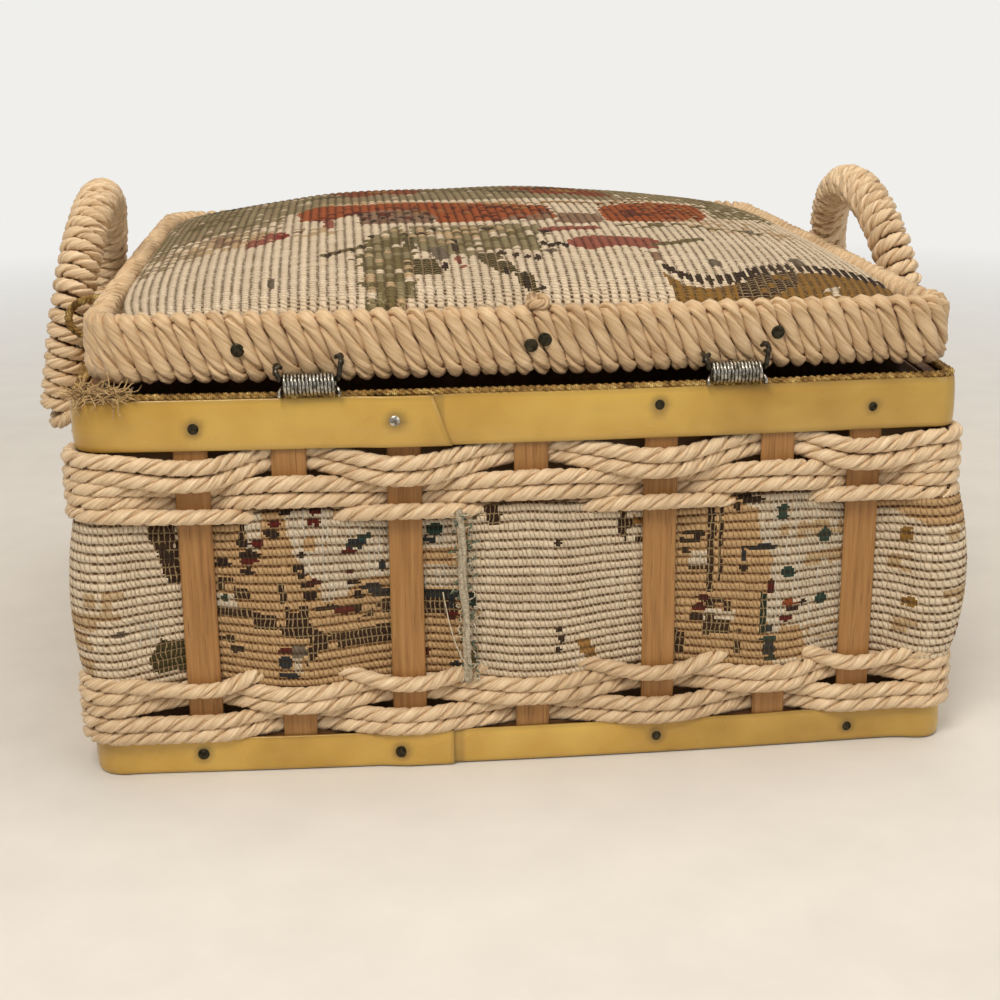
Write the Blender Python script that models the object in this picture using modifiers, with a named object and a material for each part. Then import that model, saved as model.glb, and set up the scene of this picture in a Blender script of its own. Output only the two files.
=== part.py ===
"""A square sewing basket, in metres with +Z up.

Wooden slats stand round a base board and two hoops, and paper cords and a strip of
tapestry are woven through them. A padded tapestry lid, its rim wound with cord, turns
on two spring hinges at the -Y wall. A cord-wound handle arches over each end wall.
The underside is at z = 0, at the middle of the plan.
"""

import math
from collections import namedtuple

import bmesh
import bpy
from mathutils import Vector

# Fits
CLEAR = 0.0003
WINDING_GAP = 0.0005

# Body
BODY_WIDTH = 0.246
BODY_DEPTH = 0.246
BODY_HEIGHT = 0.109
BODY_CORNER = 0.013
BODY_BOW = 0.003
TOP_BAND_HEIGHT = 0.0142
BOTTOM_BAND_HEIGHT = 0.0103
BAND_THICKNESS = 0.001
TOP_LAP_X = -0.025
BOTTOM_LAP_X = -0.021
BAND_LAP_LENGTH = 0.012
BAND_LAP_RAMP = 0.006
TOP_LAP_SLANT = 0.005
BASE_THICKNESS = 0.0025
LINING_THICKNESS = 0.0014
LINING_DROP = 0.0008
HOOP_DROP = 0.0005
BRAID_THICKNESS = 0.0013

# Slats and what is woven through them
SLAT_WIDTH = 0.0095
SLAT_THICKNESS = 0.0016
SLAT_SHARES = (-0.74, -0.525, -0.27, 0.015, 0.31, 0.58, 0.785)
CORD_DIAMETER = 0.0037
CORD_A_DIP = 0.0019
CORD_B_DIP = 0.0013
CORD_C_DIP = -0.0006
CORD_D_DIP = 0.0006
CORD_E_DIP = -0.001
CORD_F_DIP = 0
CORNER_DROP = 0.0005
CORD_FLANK = 0.0006
CORNER_SWELL = 0.002
CORD_END_SHARE = 0.4
CLIMB_SHARE = 0.55
CORNER_SHARES = (0.25, 0.75)
FABRIC_THICKNESS = 0.0008

# Handles
HANDLE_SPAN = 0.088
HANDLE_CORE_DIAMETER = 0.0042
HANDLE_CORD_DIAMETER = 0.0039
HANDLE_FOOT_DROP = 0.023
HANDLE_FOOT_RADIUS = 0.006
HANDLE_RISE = 0.0404
HANDLE_STAND_OFF = 0.011
HANDLE_END_OFF = 0.0055
HANDLE_LEAN_SHARE = 0.18
HANDLE_LOOPS = 18

# Lid
LID_END_SETBACK = 0.004
LID_SIDE_SETBACK = 0.003
LID_CORNER = 0.015
LID_BOW = 0.002
LID_END_BOW = 0.0003
LID_GAP = 0.0034
RIM_HEIGHT = 0.0217
RIM_FRAME_THICKNESS = 0.005
RIM_CORD = 0.0022
RIM_GROOVE = 0.0007
LID_BOARD_DROP = 0.006
LID_BOARD_THICKNESS = 0.002
LID_LINING_THICKNESS = 0.0012
PAD_CROWN = 0.018
PAD_SHOULDER = 0.0035
PAD_EDGE_SHARE = 0.25

# Spring hinges
HINGE_SPREAD = 0.116
SPRING_WIRE = 0.00095
SPRING_DIAMETER = 0.0066
SPRING_CURLS = 9
SPRING_PITCH = 0.0015
STAPLE_WIRE = 0.001
STAPLE_OFFSET = 0.0012
STAPLE_RISE = 0.0045

# Cord loop at the lid's left end
LOOP_CORD = 0.0026
LOOP_Y = -0.075
LOOP_HEIGHT = 0.011
LOOP_REACH = 0.0085

# Fineness
CORNER_STEPS = 4
SIDE_STEPS = 4
TURN_POINTS = 8
ARC_POINTS = 12
FOOT_POINTS = 3
PAD_CUTS = 3
RIM_SIDE_STEPS = 20

Plan = namedtuple("Plan", "width depth corner bow end_bow")
LID_WIDTH = BODY_WIDTH - 2 * LID_END_SETBACK
LID_DEPTH = BODY_DEPTH - 2 * LID_SIDE_SETBACK
BODY = Plan(BODY_WIDTH, BODY_DEPTH, BODY_CORNER, BODY_BOW, BODY_BOW)
LID = Plan(LID_WIDTH, LID_DEPTH, LID_CORNER, LID_BOW, LID_END_BOW)
OUTWARD = (Vector((0, -1, 0)), Vector((1, 0, 0)), Vector((0, 1, 0)), Vector((-1, 0, 0)))

# Radial build-up of the body's wall, as insets from the outer face of the bands
FACET_SAG = BODY_BOW / SIDE_STEPS**2
SLAT_INSET = BAND_THICKNESS + CLEAR + FACET_SAG
SLAT_MIDDLE = SLAT_INSET + SLAT_THICKNESS / 2
CORD_SWING = SLAT_THICKNESS / 2 + CLEAR + CORD_DIAMETER / 2
HOOP_INSET = SLAT_INSET + SLAT_THICKNESS + CLEAR
LINING_INSET = SLAT_MIDDLE + CORD_SWING + CORD_DIAMETER / 2 + WINDING_GAP

# Heights of the weave: two groups of cords, stacked from the bands towards the tapestry
STEP_SELF = CORD_DIAMETER + WINDING_GAP
CORD_A = BODY_HEIGHT - TOP_BAND_HEIGHT - CLEAR - CORD_DIAMETER / 2
CORD_B = CORD_A - 2 * STEP_SELF
CORD_C = CORD_B - 2 * STEP_SELF
CORD_F = CLEAR + BOTTOM_BAND_HEIGHT + CLEAR + CORD_DIAMETER / 2 + STEP_SELF
CORD_E = CORD_F + 2 * STEP_SELF
CORD_D = CORD_E + STEP_SELF
TAPESTRY_TOP = CORD_C - CORNER_DROP - CORD_DIAMETER / 2 - CLEAR
TAPESTRY_BOTTOM = CORD_D + CORD_DIAMETER / 2 + 2 * CLEAR

RIM_BOTTOM = BODY_HEIGHT + LID_GAP
RIM_TOP = RIM_BOTTOM + RIM_HEIGHT
FRAME_INSET = RIM_CORD + CLEAR
BOARD_INSET = FRAME_INSET + RIM_FRAME_THICKNESS + WINDING_GAP
BOARD_TOP = RIM_TOP - LID_BOARD_DROP


def clear_scene():
    for obj in list(bpy.data.objects):
        bpy.data.objects.remove(obj)


def new_collection(name):
    found = bpy.data.collections.new(name)
    bpy.context.scene.collection.children.link(found)
    return found


def new_material(name, colour, roughness, metallic=0.0):
    material = bpy.data.materials.new(name)
    material.use_nodes = True
    shader = material.node_tree.nodes["Principled BSDF"]
    shader.inputs["Base Color"].default_value = (*colour, 1.0)
    shader.inputs["Roughness"].default_value = roughness
    shader.inputs["Metallic"].default_value = metallic
    material.diffuse_color = (*colour, 1.0)
    return material


def finish(obj, material, collection):
    obj.data.materials.append(material)
    collection.objects.link(obj)
    return obj


# Points on a wall and round a plan

def half_run(plan, side):
    """Half the straight length of a side, between its two corner arcs."""
    return (plan.width if side % 2 == 0 else plan.depth) / 2 - plan.corner


def wall_point(plan, side, along, out, height):
    """A point this far along one side, anticlockwise from its middle, and this far out from its face."""
    normal = OUTWARD[side]
    reach = (plan.depth if side % 2 == 0 else plan.width) / 2
    bow = plan.bow if side % 2 == 0 else plan.end_bow
    bulge = bow * max(0, 1 - (along / half_run(plan, side)) ** 2)
    point = normal * (reach + bulge + out) + Vector((-normal.y, normal.x, 0)) * along
    return point + Vector((0, 0, height))


def corner_point(plan, side, share, out, height):
    """A point on the arc that follows a side, from share 0 at that side to 1 at the next."""
    normal = OUTWARD[side]
    following = OUTWARD[(side + 1) % len(OUTWARD)]
    reach = (plan.depth if side % 2 == 0 else plan.width) / 2 - plan.corner
    reach_next = (plan.width if side % 2 == 0 else plan.depth) / 2 - plan.corner
    turn = share * math.pi / 2
    arm = normal * math.cos(turn) + following * math.sin(turn)
    return normal * reach + following * reach_next + arm * (plan.corner + out) + Vector((0, 0, height))


def ring(plan, out, height, side_steps=SIDE_STEPS):
    """Points right round a plan, moved out from it."""
    points = []
    for side in range(len(OUTWARD)):
        run = half_run(plan, side)
        for step in range(side_steps + 1):
            points.append(wall_point(plan, side, run * (2 * step / side_steps - 1), out, height))
        for step in range(1, CORNER_STEPS):
            points.append(corner_point(plan, side, step / CORNER_STEPS, out, height))
    return points


def least_gap(name, points, diameter, apart):
    """Prints how near a tube comes to itself between points at least this many apart."""
    nearest = min(
        (points[i] - points[j]).length
        for i in range(len(points))
        for j in range(i + apart, len(points))
    )
    print(f"{name}: least gap to itself {(nearest - diameter) * 1000:.2f} mm")


# Curves, sweeps and solids

def line_curve(name, points, closed, flat=False):
    curve = bpy.data.curves.new(name, "CURVE")
    curve.dimensions = "2D" if flat else "3D"
    spline = curve.splines.new("POLY")
    spline.points.add(len(points) - 1)
    for target, point in zip(spline.points, points):
        target.co = (*point, 1.0)
    spline.use_cyclic_u = closed
    return curve


def tube(name, points, diameter, material, fineness=1, closed=False):
    curve = line_curve(name, points, closed)
    curve.bevel_depth = diameter / 2
    curve.bevel_resolution = fineness
    curve.use_fill_caps = not closed
    return finish(bpy.data.objects.new(name, curve), material, PARTS)


def profile_guide(name, corners):
    """A closed cross-section, its x pointing out of the path and its y up."""
    curve = line_curve(name, [Vector((x, y, 0)) for x, y in corners], True, flat=True)
    guide = bpy.data.objects.new(name, curve)
    guide.hide_render = True
    guide.display_type = "WIRE"
    GUIDES.objects.link(guide)
    return guide


def sweep(name, points, corners, material, closed=True, radii=None):
    """A cross-section carried along an anticlockwise path; its corners are listed clockwise."""
    curve = line_curve(name, points, closed)
    curve.twist_mode = "Z_UP"
    curve.bevel_mode = "OBJECT"
    curve.bevel_object = profile_guide(name + "_section", corners)
    curve.use_fill_caps = not closed
    for point, radius in zip(curve.splines[0].points, radii or []):
        point.radius = radius
    return finish(bpy.data.objects.new(name, curve), material, PARTS)


def strip_section(thickness, height):
    """A rectangle that lies inward of the path and stands up from it."""
    return ((-thickness, 0), (-thickness, height), (0, height), (0, 0))


def plate(name, outline, height, thickness, material):
    """A flat board whose underside is at this height."""
    curve = line_curve(name, [Vector((p.x, p.y, 0)) for p in outline], True, flat=True)
    curve.fill_mode = "BOTH"
    curve.extrude = thickness / 2
    obj = finish(bpy.data.objects.new(name, curve), material, PARTS)
    obj.location.z = height + thickness / 2
    return obj


def as_mesh(obj):
    """The same piece as a mesh with its caps welded, in the curve's place."""
    bpy.context.view_layer.update()
    graph = bpy.context.evaluated_depsgraph_get()
    mesh = bpy.data.meshes.new_from_object(obj.evaluated_get(graph))
    shape = bmesh.new()
    shape.from_mesh(mesh)
    bmesh.ops.remove_doubles(shape, verts=shape.verts, dist=CLEAR / 100)
    bmesh.ops.recalc_face_normals(shape, faces=shape.faces)
    shape.to_mesh(mesh)
    shape.free()
    name = obj.name
    matrix = obj.matrix_world.copy()
    bpy.data.objects.remove(obj)
    solid = bpy.data.objects.new(name, mesh)
    solid.matrix_world = matrix
    PARTS.objects.link(solid)
    return solid


# Body

def slat_places():
    """Each slat's side and its distance along it, anticlockwise from the -Y side's left end."""
    places = []
    for side in range(len(OUTWARD)):
        half = (BODY_WIDTH if side % 2 == 0 else BODY_DEPTH) / 2
        places += [(side, share * half) for share in SLAT_SHARES]
    return places


def wall_turn(side, along):
    """How far a piece on the wall turns about Z to lie along the bowed face."""
    run = half_run(BODY, side)
    slope = -2 * BODY_BOW * along / run**2
    return side * math.pi / 2 - math.atan(slope)


def make_slats(material):
    height = BODY_HEIGHT - 2 * CLEAR
    for number, (side, along) in enumerate(slat_places(), 1):
        mesh = bpy.data.meshes.new(f"slat_{number:02d}")
        shape = bmesh.new()
        bmesh.ops.create_cube(shape, size=1)
        bmesh.ops.scale(shape, vec=(SLAT_WIDTH, SLAT_THICKNESS, height), verts=shape.verts)
        shape.to_mesh(mesh)
        shape.free()
        slat = finish(bpy.data.objects.new(mesh.name, mesh), material, PARTS)
        slat.location = wall_point(BODY, side, along, -SLAT_MIDDLE, CLEAR + height / 2)
        slat.rotation_euler.z = wall_turn(side, along)


def in_front(number, row_front):
    """Whether a row passes outside this slat; rows take every other one."""
    return (number % 2 == 0) == (row_front == "first")


def woven_path(first, loops, front, height, dip, corner_drop):
    """A path in front of every other slat and behind the rest, a step lower on each loop.

    It dips where it passes a slat of the first set and rises as far at one of the second.
    """
    places = slat_places()
    count = len(places)
    points = []
    for step in range(count * loops):
        number = (first + step) % count
        side, along = places[number]
        outside = in_front(number, front)
        out = -SLAT_MIDDLE + (CORD_SWING if outside else -CORD_SWING)
        level = height - STEP_SELF * (step // count)
        lift = level + (-dip if in_front(number, "first") else dip)
        reach = SLAT_WIDTH / 2 + CORD_FLANK
        starts_loop = step % count == 0 and step > 0
        if starts_loop:
            last_side, last_along = places[number - 1]
            share = last_along + (along - last_along) * CLIMB_SHARE
            between = level + STEP_SELF * CLIMB_SHARE
            points.append(wall_point(BODY, side, share, -SLAT_MIDDLE, between))
        points.append(wall_point(BODY, side, along - reach, out, lift))
        points.append(wall_point(BODY, side, along + reach, out, lift))
        if number % len(SLAT_SHARES) == len(SLAT_SHARES) - 1:
            swelled = CORNER_SWELL - SLAT_MIDDLE
            for share in CORNER_SHARES:
                points.append(corner_point(BODY, side, share, swelled, level - corner_drop))
    side, along = places[(first - 1) % count]
    following = places[first][1]
    reach = along + (following - along) * CORD_END_SHARE
    points.append(wall_point(BODY, side, reach, -SLAT_MIDDLE, height - STEP_SELF * (loops - 1)))
    return points


def make_cords(material):
    behind_first = 3 + 2 * len(SLAT_SHARES)
    behind_second = behind_first + 1
    rows = (
        ("weaving_cord_a", behind_first, 2, "first", CORD_A, CORD_A_DIP, CORNER_DROP),
        ("weaving_cord_b", behind_second, 2, "second", CORD_B, CORD_B_DIP, CORNER_DROP),
        ("weaving_cord_c", behind_first, 1, "first", CORD_C, CORD_C_DIP, CORNER_DROP),
        ("weaving_cord_d", behind_first, 1, "first", CORD_D, CORD_D_DIP, 0),
        ("weaving_cord_e", behind_second, 2, "second", CORD_E, CORD_E_DIP, 0),
        ("weaving_cord_f", behind_first, 2, "first", CORD_F, CORD_F_DIP, 0),
    )
    for name, first, loops, front, height, dip, corner_drop in rows:
        points = woven_path(first, loops, front, height, dip, corner_drop)
        tube(name, points, CORD_DIAMETER, material)
        if loops > 1:
            least_gap(name, points, CORD_DIAMETER, TURN_POINTS)


def make_tapestry_band(material):
    """A strip of cloth woven through the slats between the two groups of cords."""
    places = slat_places()
    swing = SLAT_THICKNESS / 2 + CLEAR + FABRIC_THICKNESS / 2
    points = []
    for number, (side, along) in enumerate(places):
        out = -SLAT_MIDDLE + (swing if in_front(number, "second") else -swing)
        for reach in (-SLAT_WIDTH / 2 - CORD_FLANK, SLAT_WIDTH / 2 + CORD_FLANK):
            points.append(wall_point(BODY, side, along + reach, out, TAPESTRY_BOTTOM))
        if number % len(SLAT_SHARES) == len(SLAT_SHARES) - 1:
            for step in range(CORNER_STEPS + 1):
                points.append(
                    corner_point(BODY, side, step / CORNER_STEPS, -SLAT_MIDDLE, TAPESTRY_BOTTOM)
                )
    half = FABRIC_THICKNESS / 2
    height = TAPESTRY_TOP - TAPESTRY_BOTTOM
    section = ((-half, 0), (-half, height), (half, height), (half, 0))
    sweep("tapestry_band", points, section, material)


def make_band(name, bottom, height, lap_x, slant, material):
    """A plastic strip right round the body, its end lapped over its start."""
    start = lap_x - BAND_LAP_LENGTH
    lifted = BAND_THICKNESS + CLEAR
    points = [
        wall_point(BODY, 0, start, 0, bottom),
        wall_point(BODY, 0, lap_x, 0, bottom),
    ]
    loop = ring(BODY, 0, bottom)
    points += [p for p in loop[1 : SIDE_STEPS + 1] if p.x > lap_x]
    points += loop[SIDE_STEPS + 1 :]
    points.append(loop[0])
    points += [p for p in loop[1:SIDE_STEPS] if p.x < start - 2 * BAND_LAP_RAMP]
    points.append(wall_point(BODY, 0, start - BAND_LAP_RAMP, 0, bottom))
    points.append(wall_point(BODY, 0, start - CLEAR, lifted, bottom))
    points.append(wall_point(BODY, 0, lap_x, lifted, bottom))
    section = strip_section(BAND_THICKNESS, height)
    band = as_mesh(sweep(name, points, section, material, closed=False))
    end = [v for v in band.data.vertices if abs(v.co.x - lap_x) < CLEAR / 2 and v.co.y < 0]
    outer = min(v.co.y for v in end)
    for vertex in end:
        if vertex.co.y < outer + lifted - CLEAR / 2 and vertex.co.z < bottom + height / 2:
            vertex.co.x += slant


def make_hoops(material):
    thickness = LINING_INSET - WINDING_GAP - HOOP_INSET
    top = BODY_HEIGHT - HOOP_DROP
    bottom = CORD_A + CORD_A_DIP + CORD_DIAMETER / 2 + CLEAR
    section = strip_section(thickness, top - bottom)
    sweep("top_hoop", ring(BODY, -HOOP_INSET, bottom), section, material)
    lower = BASE_THICKNESS + CLEAR
    upper = CORD_F - STEP_SELF - CORD_DIAMETER / 2 - CLEAR
    section = strip_section(thickness, upper - lower)
    sweep("bottom_hoop", ring(BODY, -HOOP_INSET, lower), section, material)


def make_lining(material):
    """An open card box inside the wall, standing on the base board."""
    bottom = BASE_THICKNESS + CLEAR
    height = BODY_HEIGHT - LINING_DROP - bottom
    outline = [Vector((p.x, p.y, 0)) for p in ring(BODY, -LINING_INSET, 0)]
    curve = line_curve("lining_box", outline, True, flat=True)
    curve.fill_mode = "BACK"
    curve.extrude = height / 2
    obj = finish(bpy.data.objects.new("lining_box", curve), material, PARTS)
    obj.location.z = bottom + height / 2
    box = as_mesh(obj)
    wall = box.modifiers.new("Wall", "SOLIDIFY")
    wall.thickness = LINING_THICKNESS
    wall.offset = -1
    wall.use_even_offset = True
    return box


# Handles

def handle_path():
    """The middle line of the +X handle, from the wall out, up and over in a plane that leans inwards."""
    half = HANDLE_SPAN / 2
    stand = BODY_WIDTH / 2 + HANDLE_STAND_OFF
    foot = BODY_HEIGHT - HANDLE_FOOT_DROP
    start = BODY_WIDTH / 2 + HANDLE_END_OFF
    knee = foot + HANDLE_FOOT_RADIUS
    leg = stand + HANDLE_LEAN_SHARE * (BODY_HEIGHT - knee)
    places = [(start, -half, foot)]
    for step in range(FOOT_POINTS + 1):
        turn = math.pi / 2 * step / FOOT_POINTS
        x = leg - HANDLE_FOOT_RADIUS * (1 - math.sin(turn))
        places.append((x, -half, knee - HANDLE_FOOT_RADIUS * math.cos(turn)))
    for step in range(ARC_POINTS + 1):
        turn = math.pi * step / ARC_POINTS
        rise = HANDLE_RISE * math.sin(turn)
        places.append((stand - HANDLE_LEAN_SHARE * rise, -half * math.cos(turn), BODY_HEIGHT + rise))
    for x, y, z in places[FOOT_POINTS + 1 :: -1]:
        places.append((x, half, z))
    return [Vector(place) for place in places]


def along_path(points, share):
    """The place this share of the way along a line of points."""
    lengths = [(b - a).length for a, b in zip(points, points[1:])]
    left = share * sum(lengths)
    number = 0
    while number < len(lengths) - 1 and left > lengths[number]:
        left -= lengths[number]
        number += 1
    return points[number].lerp(points[number + 1], left / lengths[number])


def wound_path(points, radius, loops, across):
    """A helix of even loops round a line that lies in the plane square to across."""
    count = loops * TURN_POINTS
    wound = []
    for step in range(count + 1):
        place = along_path(points, step / count)
        ahead = along_path(points, min(1, (step + TURN_POINTS / 2) / count))
        behind = along_path(points, max(0, (step - TURN_POINTS / 2) / count))
        direction = (ahead - behind).normalized()
        turn = math.tau * step / TURN_POINTS
        side = direction.cross(across).normalized()
        wound.append(place + (across * math.cos(turn) + side * math.sin(turn)) * radius)
    return wound


def make_handle(name, side_sign, wood, cord):
    path = handle_path()
    legs = path[FOOT_POINTS + 1 : -FOOT_POINTS - 1]
    across = (legs[-1] - legs[0]).cross(legs[len(legs) // 2] - legs[0]).normalized()
    middle = HANDLE_CORE_DIAMETER / 2 + CLEAR + HANDLE_CORD_DIAMETER / 2
    radius = middle / math.cos(math.pi / TURN_POINTS)
    wound = wound_path(legs, radius, HANDLE_LOOPS, across)
    down = (legs[0] - legs[1]).normalized() * HANDLE_CORD_DIAMETER
    wound.insert(0, wound[0] + down)
    down = (legs[-1] - legs[-2]).normalized() * HANDLE_CORD_DIAMETER
    wound.append(wound[-1] + down)
    for part, points, diameter, material in (
        ("core", path, HANDLE_CORE_DIAMETER, wood),
        ("winding", wound, HANDLE_CORD_DIAMETER, cord),
    ):
        mirrored = [Vector((side_sign * p.x, p.y, p.z)) for p in points]
        tube(f"{name}_{part}", mirrored, diameter, material)
    least_gap(name + "_winding", wound, HANDLE_CORD_DIAMETER, TURN_POINTS - 1)


# Lid

def make_rim(wood, cord):
    height = RIM_HEIGHT - 2 * FRAME_INSET - 2 * RIM_GROOVE
    bottom = RIM_BOTTOM + FRAME_INSET + RIM_GROOVE
    section = strip_section(RIM_FRAME_THICKNESS, height)
    sweep("rim_frame", ring(LID, -FRAME_INSET - RIM_GROOVE, bottom), section, wood)
    make_rim_winding(cord)


def make_rim_winding(cord):
    """Cord wound over the frame's top, face and underside, as ribs; open towards the lining."""
    middle = RIM_BOTTOM + RIM_HEIGHT / 2
    path = ring(LID, -RIM_CORD, middle, RIM_SIDE_STEPS)
    half = RIM_HEIGHT / 2
    inner = half - RIM_CORD
    deep = RIM_CORD - BOARD_INSET + CLEAR
    section = (
        (deep, inner),
        (deep, half),
        (0, half),
        (RIM_CORD, inner),
        (RIM_CORD, -inner),
        (0, -half),
        (deep, -half),
        (deep, -inner),
        (0, -inner),
        (0, inner),
    )
    shrink = 1 - RIM_GROOVE / half
    radii = [1 if step % 2 == 0 else shrink for step in range(len(path))]
    sweep("rim_winding", path, section, cord, radii=radii)


def make_lid_panels(card, satin, tapestry):
    outline = ring(LID, -BOARD_INSET - RIM_GROOVE, 0)
    board_bottom = BOARD_TOP - LID_BOARD_THICKNESS
    plate("lid_board", outline, board_bottom, LID_BOARD_THICKNESS, card)
    lining_bottom = board_bottom - CLEAR - LID_LINING_THICKNESS
    plate("lid_lining", outline, lining_bottom, LID_LINING_THICKNESS, satin)
    make_pad(tapestry)


def make_pad(material):
    """A crowned cushion: flat below, drawn in at its rim, and highest at its middle."""
    half_x = LID_WIDTH / 2 - BOARD_INSET - RIM_GROOVE - CLEAR
    half_y = LID_DEPTH / 2 - BOARD_INSET - RIM_GROOVE - CLEAR
    low = BOARD_TOP + CLEAR
    edge = RIM_TOP - PAD_SHOULDER
    mesh = bpy.data.meshes.new("lid_pad")
    shape = bmesh.new()
    bmesh.ops.create_cube(shape, size=2)
    bmesh.ops.subdivide_edges(shape, edges=shape.edges, cuts=PAD_CUTS, use_grid_fill=True)
    for vertex in shape.verts:
        u, v, w = vertex.co
        u = math.copysign(abs(u) ** PAD_EDGE_SHARE, u)
        v = math.copysign(abs(v) ** PAD_EDGE_SHARE, v)
        crown = (1 - abs(u) ** 3) * (1 - abs(v) ** 3)
        round_in = 1 - 0.5 * (u * v) ** 4 * LID_CORNER / half_x
        height = low if w < 0 else edge + (RIM_TOP + PAD_CROWN - edge) * crown**0.5
        if abs(w) < 1:
            height = low + (edge - low) * (w + 1) / 2
        vertex.co = (u * half_x * round_in, v * half_y * round_in, height)
    shape.to_mesh(mesh)
    shape.free()
    pad = finish(bpy.data.objects.new("lid_pad", mesh), material, PARTS)
    soften = pad.modifiers.new("Soften", "SUBSURF")
    soften.levels = 1
    soften.render_levels = 1
    return pad


def make_cord_loop(material):
    """A loop of gold cord that comes out of the rim's left end and goes back in."""
    face = LID_WIDTH / 2 + LID_END_BOW + CLEAR
    middle = RIM_BOTTOM + RIM_HEIGHT / 2
    points = []
    for step in range(ARC_POINTS + 1):
        turn = math.pi * (step / ARC_POINTS - 1 / 2)
        out = face + LOOP_REACH * math.cos(turn)
        points.append(Vector((-out, LOOP_Y, middle + LOOP_HEIGHT / 2 * math.sin(turn))))
    tube("lid_cord_loop", points, LOOP_CORD, material)


# Spring hinges

def rim_face():
    """The y at which a piece clears the rim over the whole length of a hinge."""
    inner = (HINGE_SPREAD - SPRING_CURLS * SPRING_PITCH) / 2
    return -LID_DEPTH / 2 - LID_BOW * (1 - (inner / half_run(LID, 0)) ** 2) - CLEAR


def hinge_line():
    """The y and z of the hinges' axis: the coils lie against the rim's face."""
    y = rim_face() - SPRING_DIAMETER / 2
    return y, BODY_HEIGHT + LID_GAP / 2 + STAPLE_RISE


def make_hinge(name, x, steel):
    y, z = hinge_line()
    radius = (SPRING_DIAMETER - SPRING_WIRE) / 2
    half = SPRING_CURLS * SPRING_PITCH / 2
    count = SPRING_CURLS * TURN_POINTS
    coil = []
    for step in range(count + 1):
        turn = math.tau * step / TURN_POINTS
        along = -half + 2 * half * step / count
        coil.append(Vector((x + along, y + radius * math.cos(turn), z + radius * math.sin(turn))))
    tube(name + "_spring", coil, SPRING_WIRE, steel)
    least_gap(name + "_spring", coil, SPRING_WIRE, TURN_POINTS - 1)
    body_leg = half + SPRING_WIRE / 2 + CLEAR + STAPLE_WIRE / 2
    lid_leg = body_leg + STAPLE_WIRE + CLEAR
    over_braid = BODY_HEIGHT + BRAID_THICKNESS + CLEAR + STAPLE_WIRE / 2
    wall = wall_point(BODY, 0, x, 0, 0).y
    seat = wall + HOOP_INSET + STAPLE_WIRE
    tip = BODY_HEIGHT - HOOP_DROP + CLEAR
    one_leg = (
        (body_leg, y, z - STAPLE_OFFSET),
        (body_leg, y, over_braid),
        (body_leg, seat, over_braid),
        (body_leg, seat, tip),
    )
    staple(name + "_body_staple", x, one_leg, steel)
    one_leg = (
        (lid_leg, y, z + STAPLE_OFFSET),
        (lid_leg, y, z + STAPLE_OFFSET + STAPLE_RISE),
        (lid_leg, rim_face(), z + STAPLE_OFFSET + STAPLE_RISE),
    )
    staple(name + "_lid_staple", x, one_leg, steel)


def staple(name, x, one_leg, steel):
    """A wire that runs through a coil, with the same leg at both ends."""
    left = [Vector((x - along, y, z)) for along, y, z in reversed(one_leg)]
    right = [Vector((x + along, y, z)) for along, y, z in one_leg]
    tube(name, left + right, STAPLE_WIRE, steel)


clear_scene()
PARTS = new_collection("sewing_basket")
GUIDES = new_collection("guides")

wood_material = new_material("slat_wood", (0.50, 0.30, 0.15), 0.6)
cord_material = new_material("paper_cord", (0.66, 0.53, 0.37), 0.7)
band_material = new_material("yellow_plastic", (0.62, 0.42, 0.12), 0.35)
card_material = new_material("board", (0.35, 0.24, 0.14), 0.8)
satin_material = new_material("satin_lining", (0.62, 0.47, 0.28), 0.5)
tapestry_material = new_material("tapestry", (0.52, 0.44, 0.31), 0.9)
braid_material = new_material("gold_braid", (0.50, 0.36, 0.14), 0.4, 0.6)
steel_material = new_material("spring_steel", (0.20, 0.19, 0.18), 0.35, 1.0)

plate("base_board", ring(BODY, -HOOP_INSET, 0), 0, BASE_THICKNESS, card_material)
make_slats(wood_material)
make_hoops(wood_material)
make_cords(cord_material)
make_tapestry_band(tapestry_material)
make_band(
    "top_band",
    BODY_HEIGHT - TOP_BAND_HEIGHT,
    TOP_BAND_HEIGHT,
    TOP_LAP_X,
    TOP_LAP_SLANT,
    band_material,
)
make_band("bottom_band", CLEAR, BOTTOM_BAND_HEIGHT, BOTTOM_LAP_X, 0, band_material)
make_lining(satin_material)
sweep(
    "top_braid",
    ring(BODY, -SLAT_INSET, BODY_HEIGHT),
    strip_section(SLAT_THICKNESS, BRAID_THICKNESS),
    braid_material,
)

make_handle("left_handle", -1, wood_material, cord_material)
make_handle("right_handle", 1, wood_material, cord_material)

make_rim(wood_material, cord_material)
make_lid_panels(card_material, satin_material, tapestry_material)
make_cord_loop(braid_material)

make_hinge("left_hinge", -HINGE_SPREAD / 2, steel_material)
make_hinge("right_hinge", HINGE_SPREAD / 2, steel_material)
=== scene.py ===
"""The looks of a woven sewing basket, built in millimetres round its frame, with camera, floor and lights."""

import math

import bmesh
import bpy
import numpy as np
from mathutils import Matrix, Vector


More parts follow.
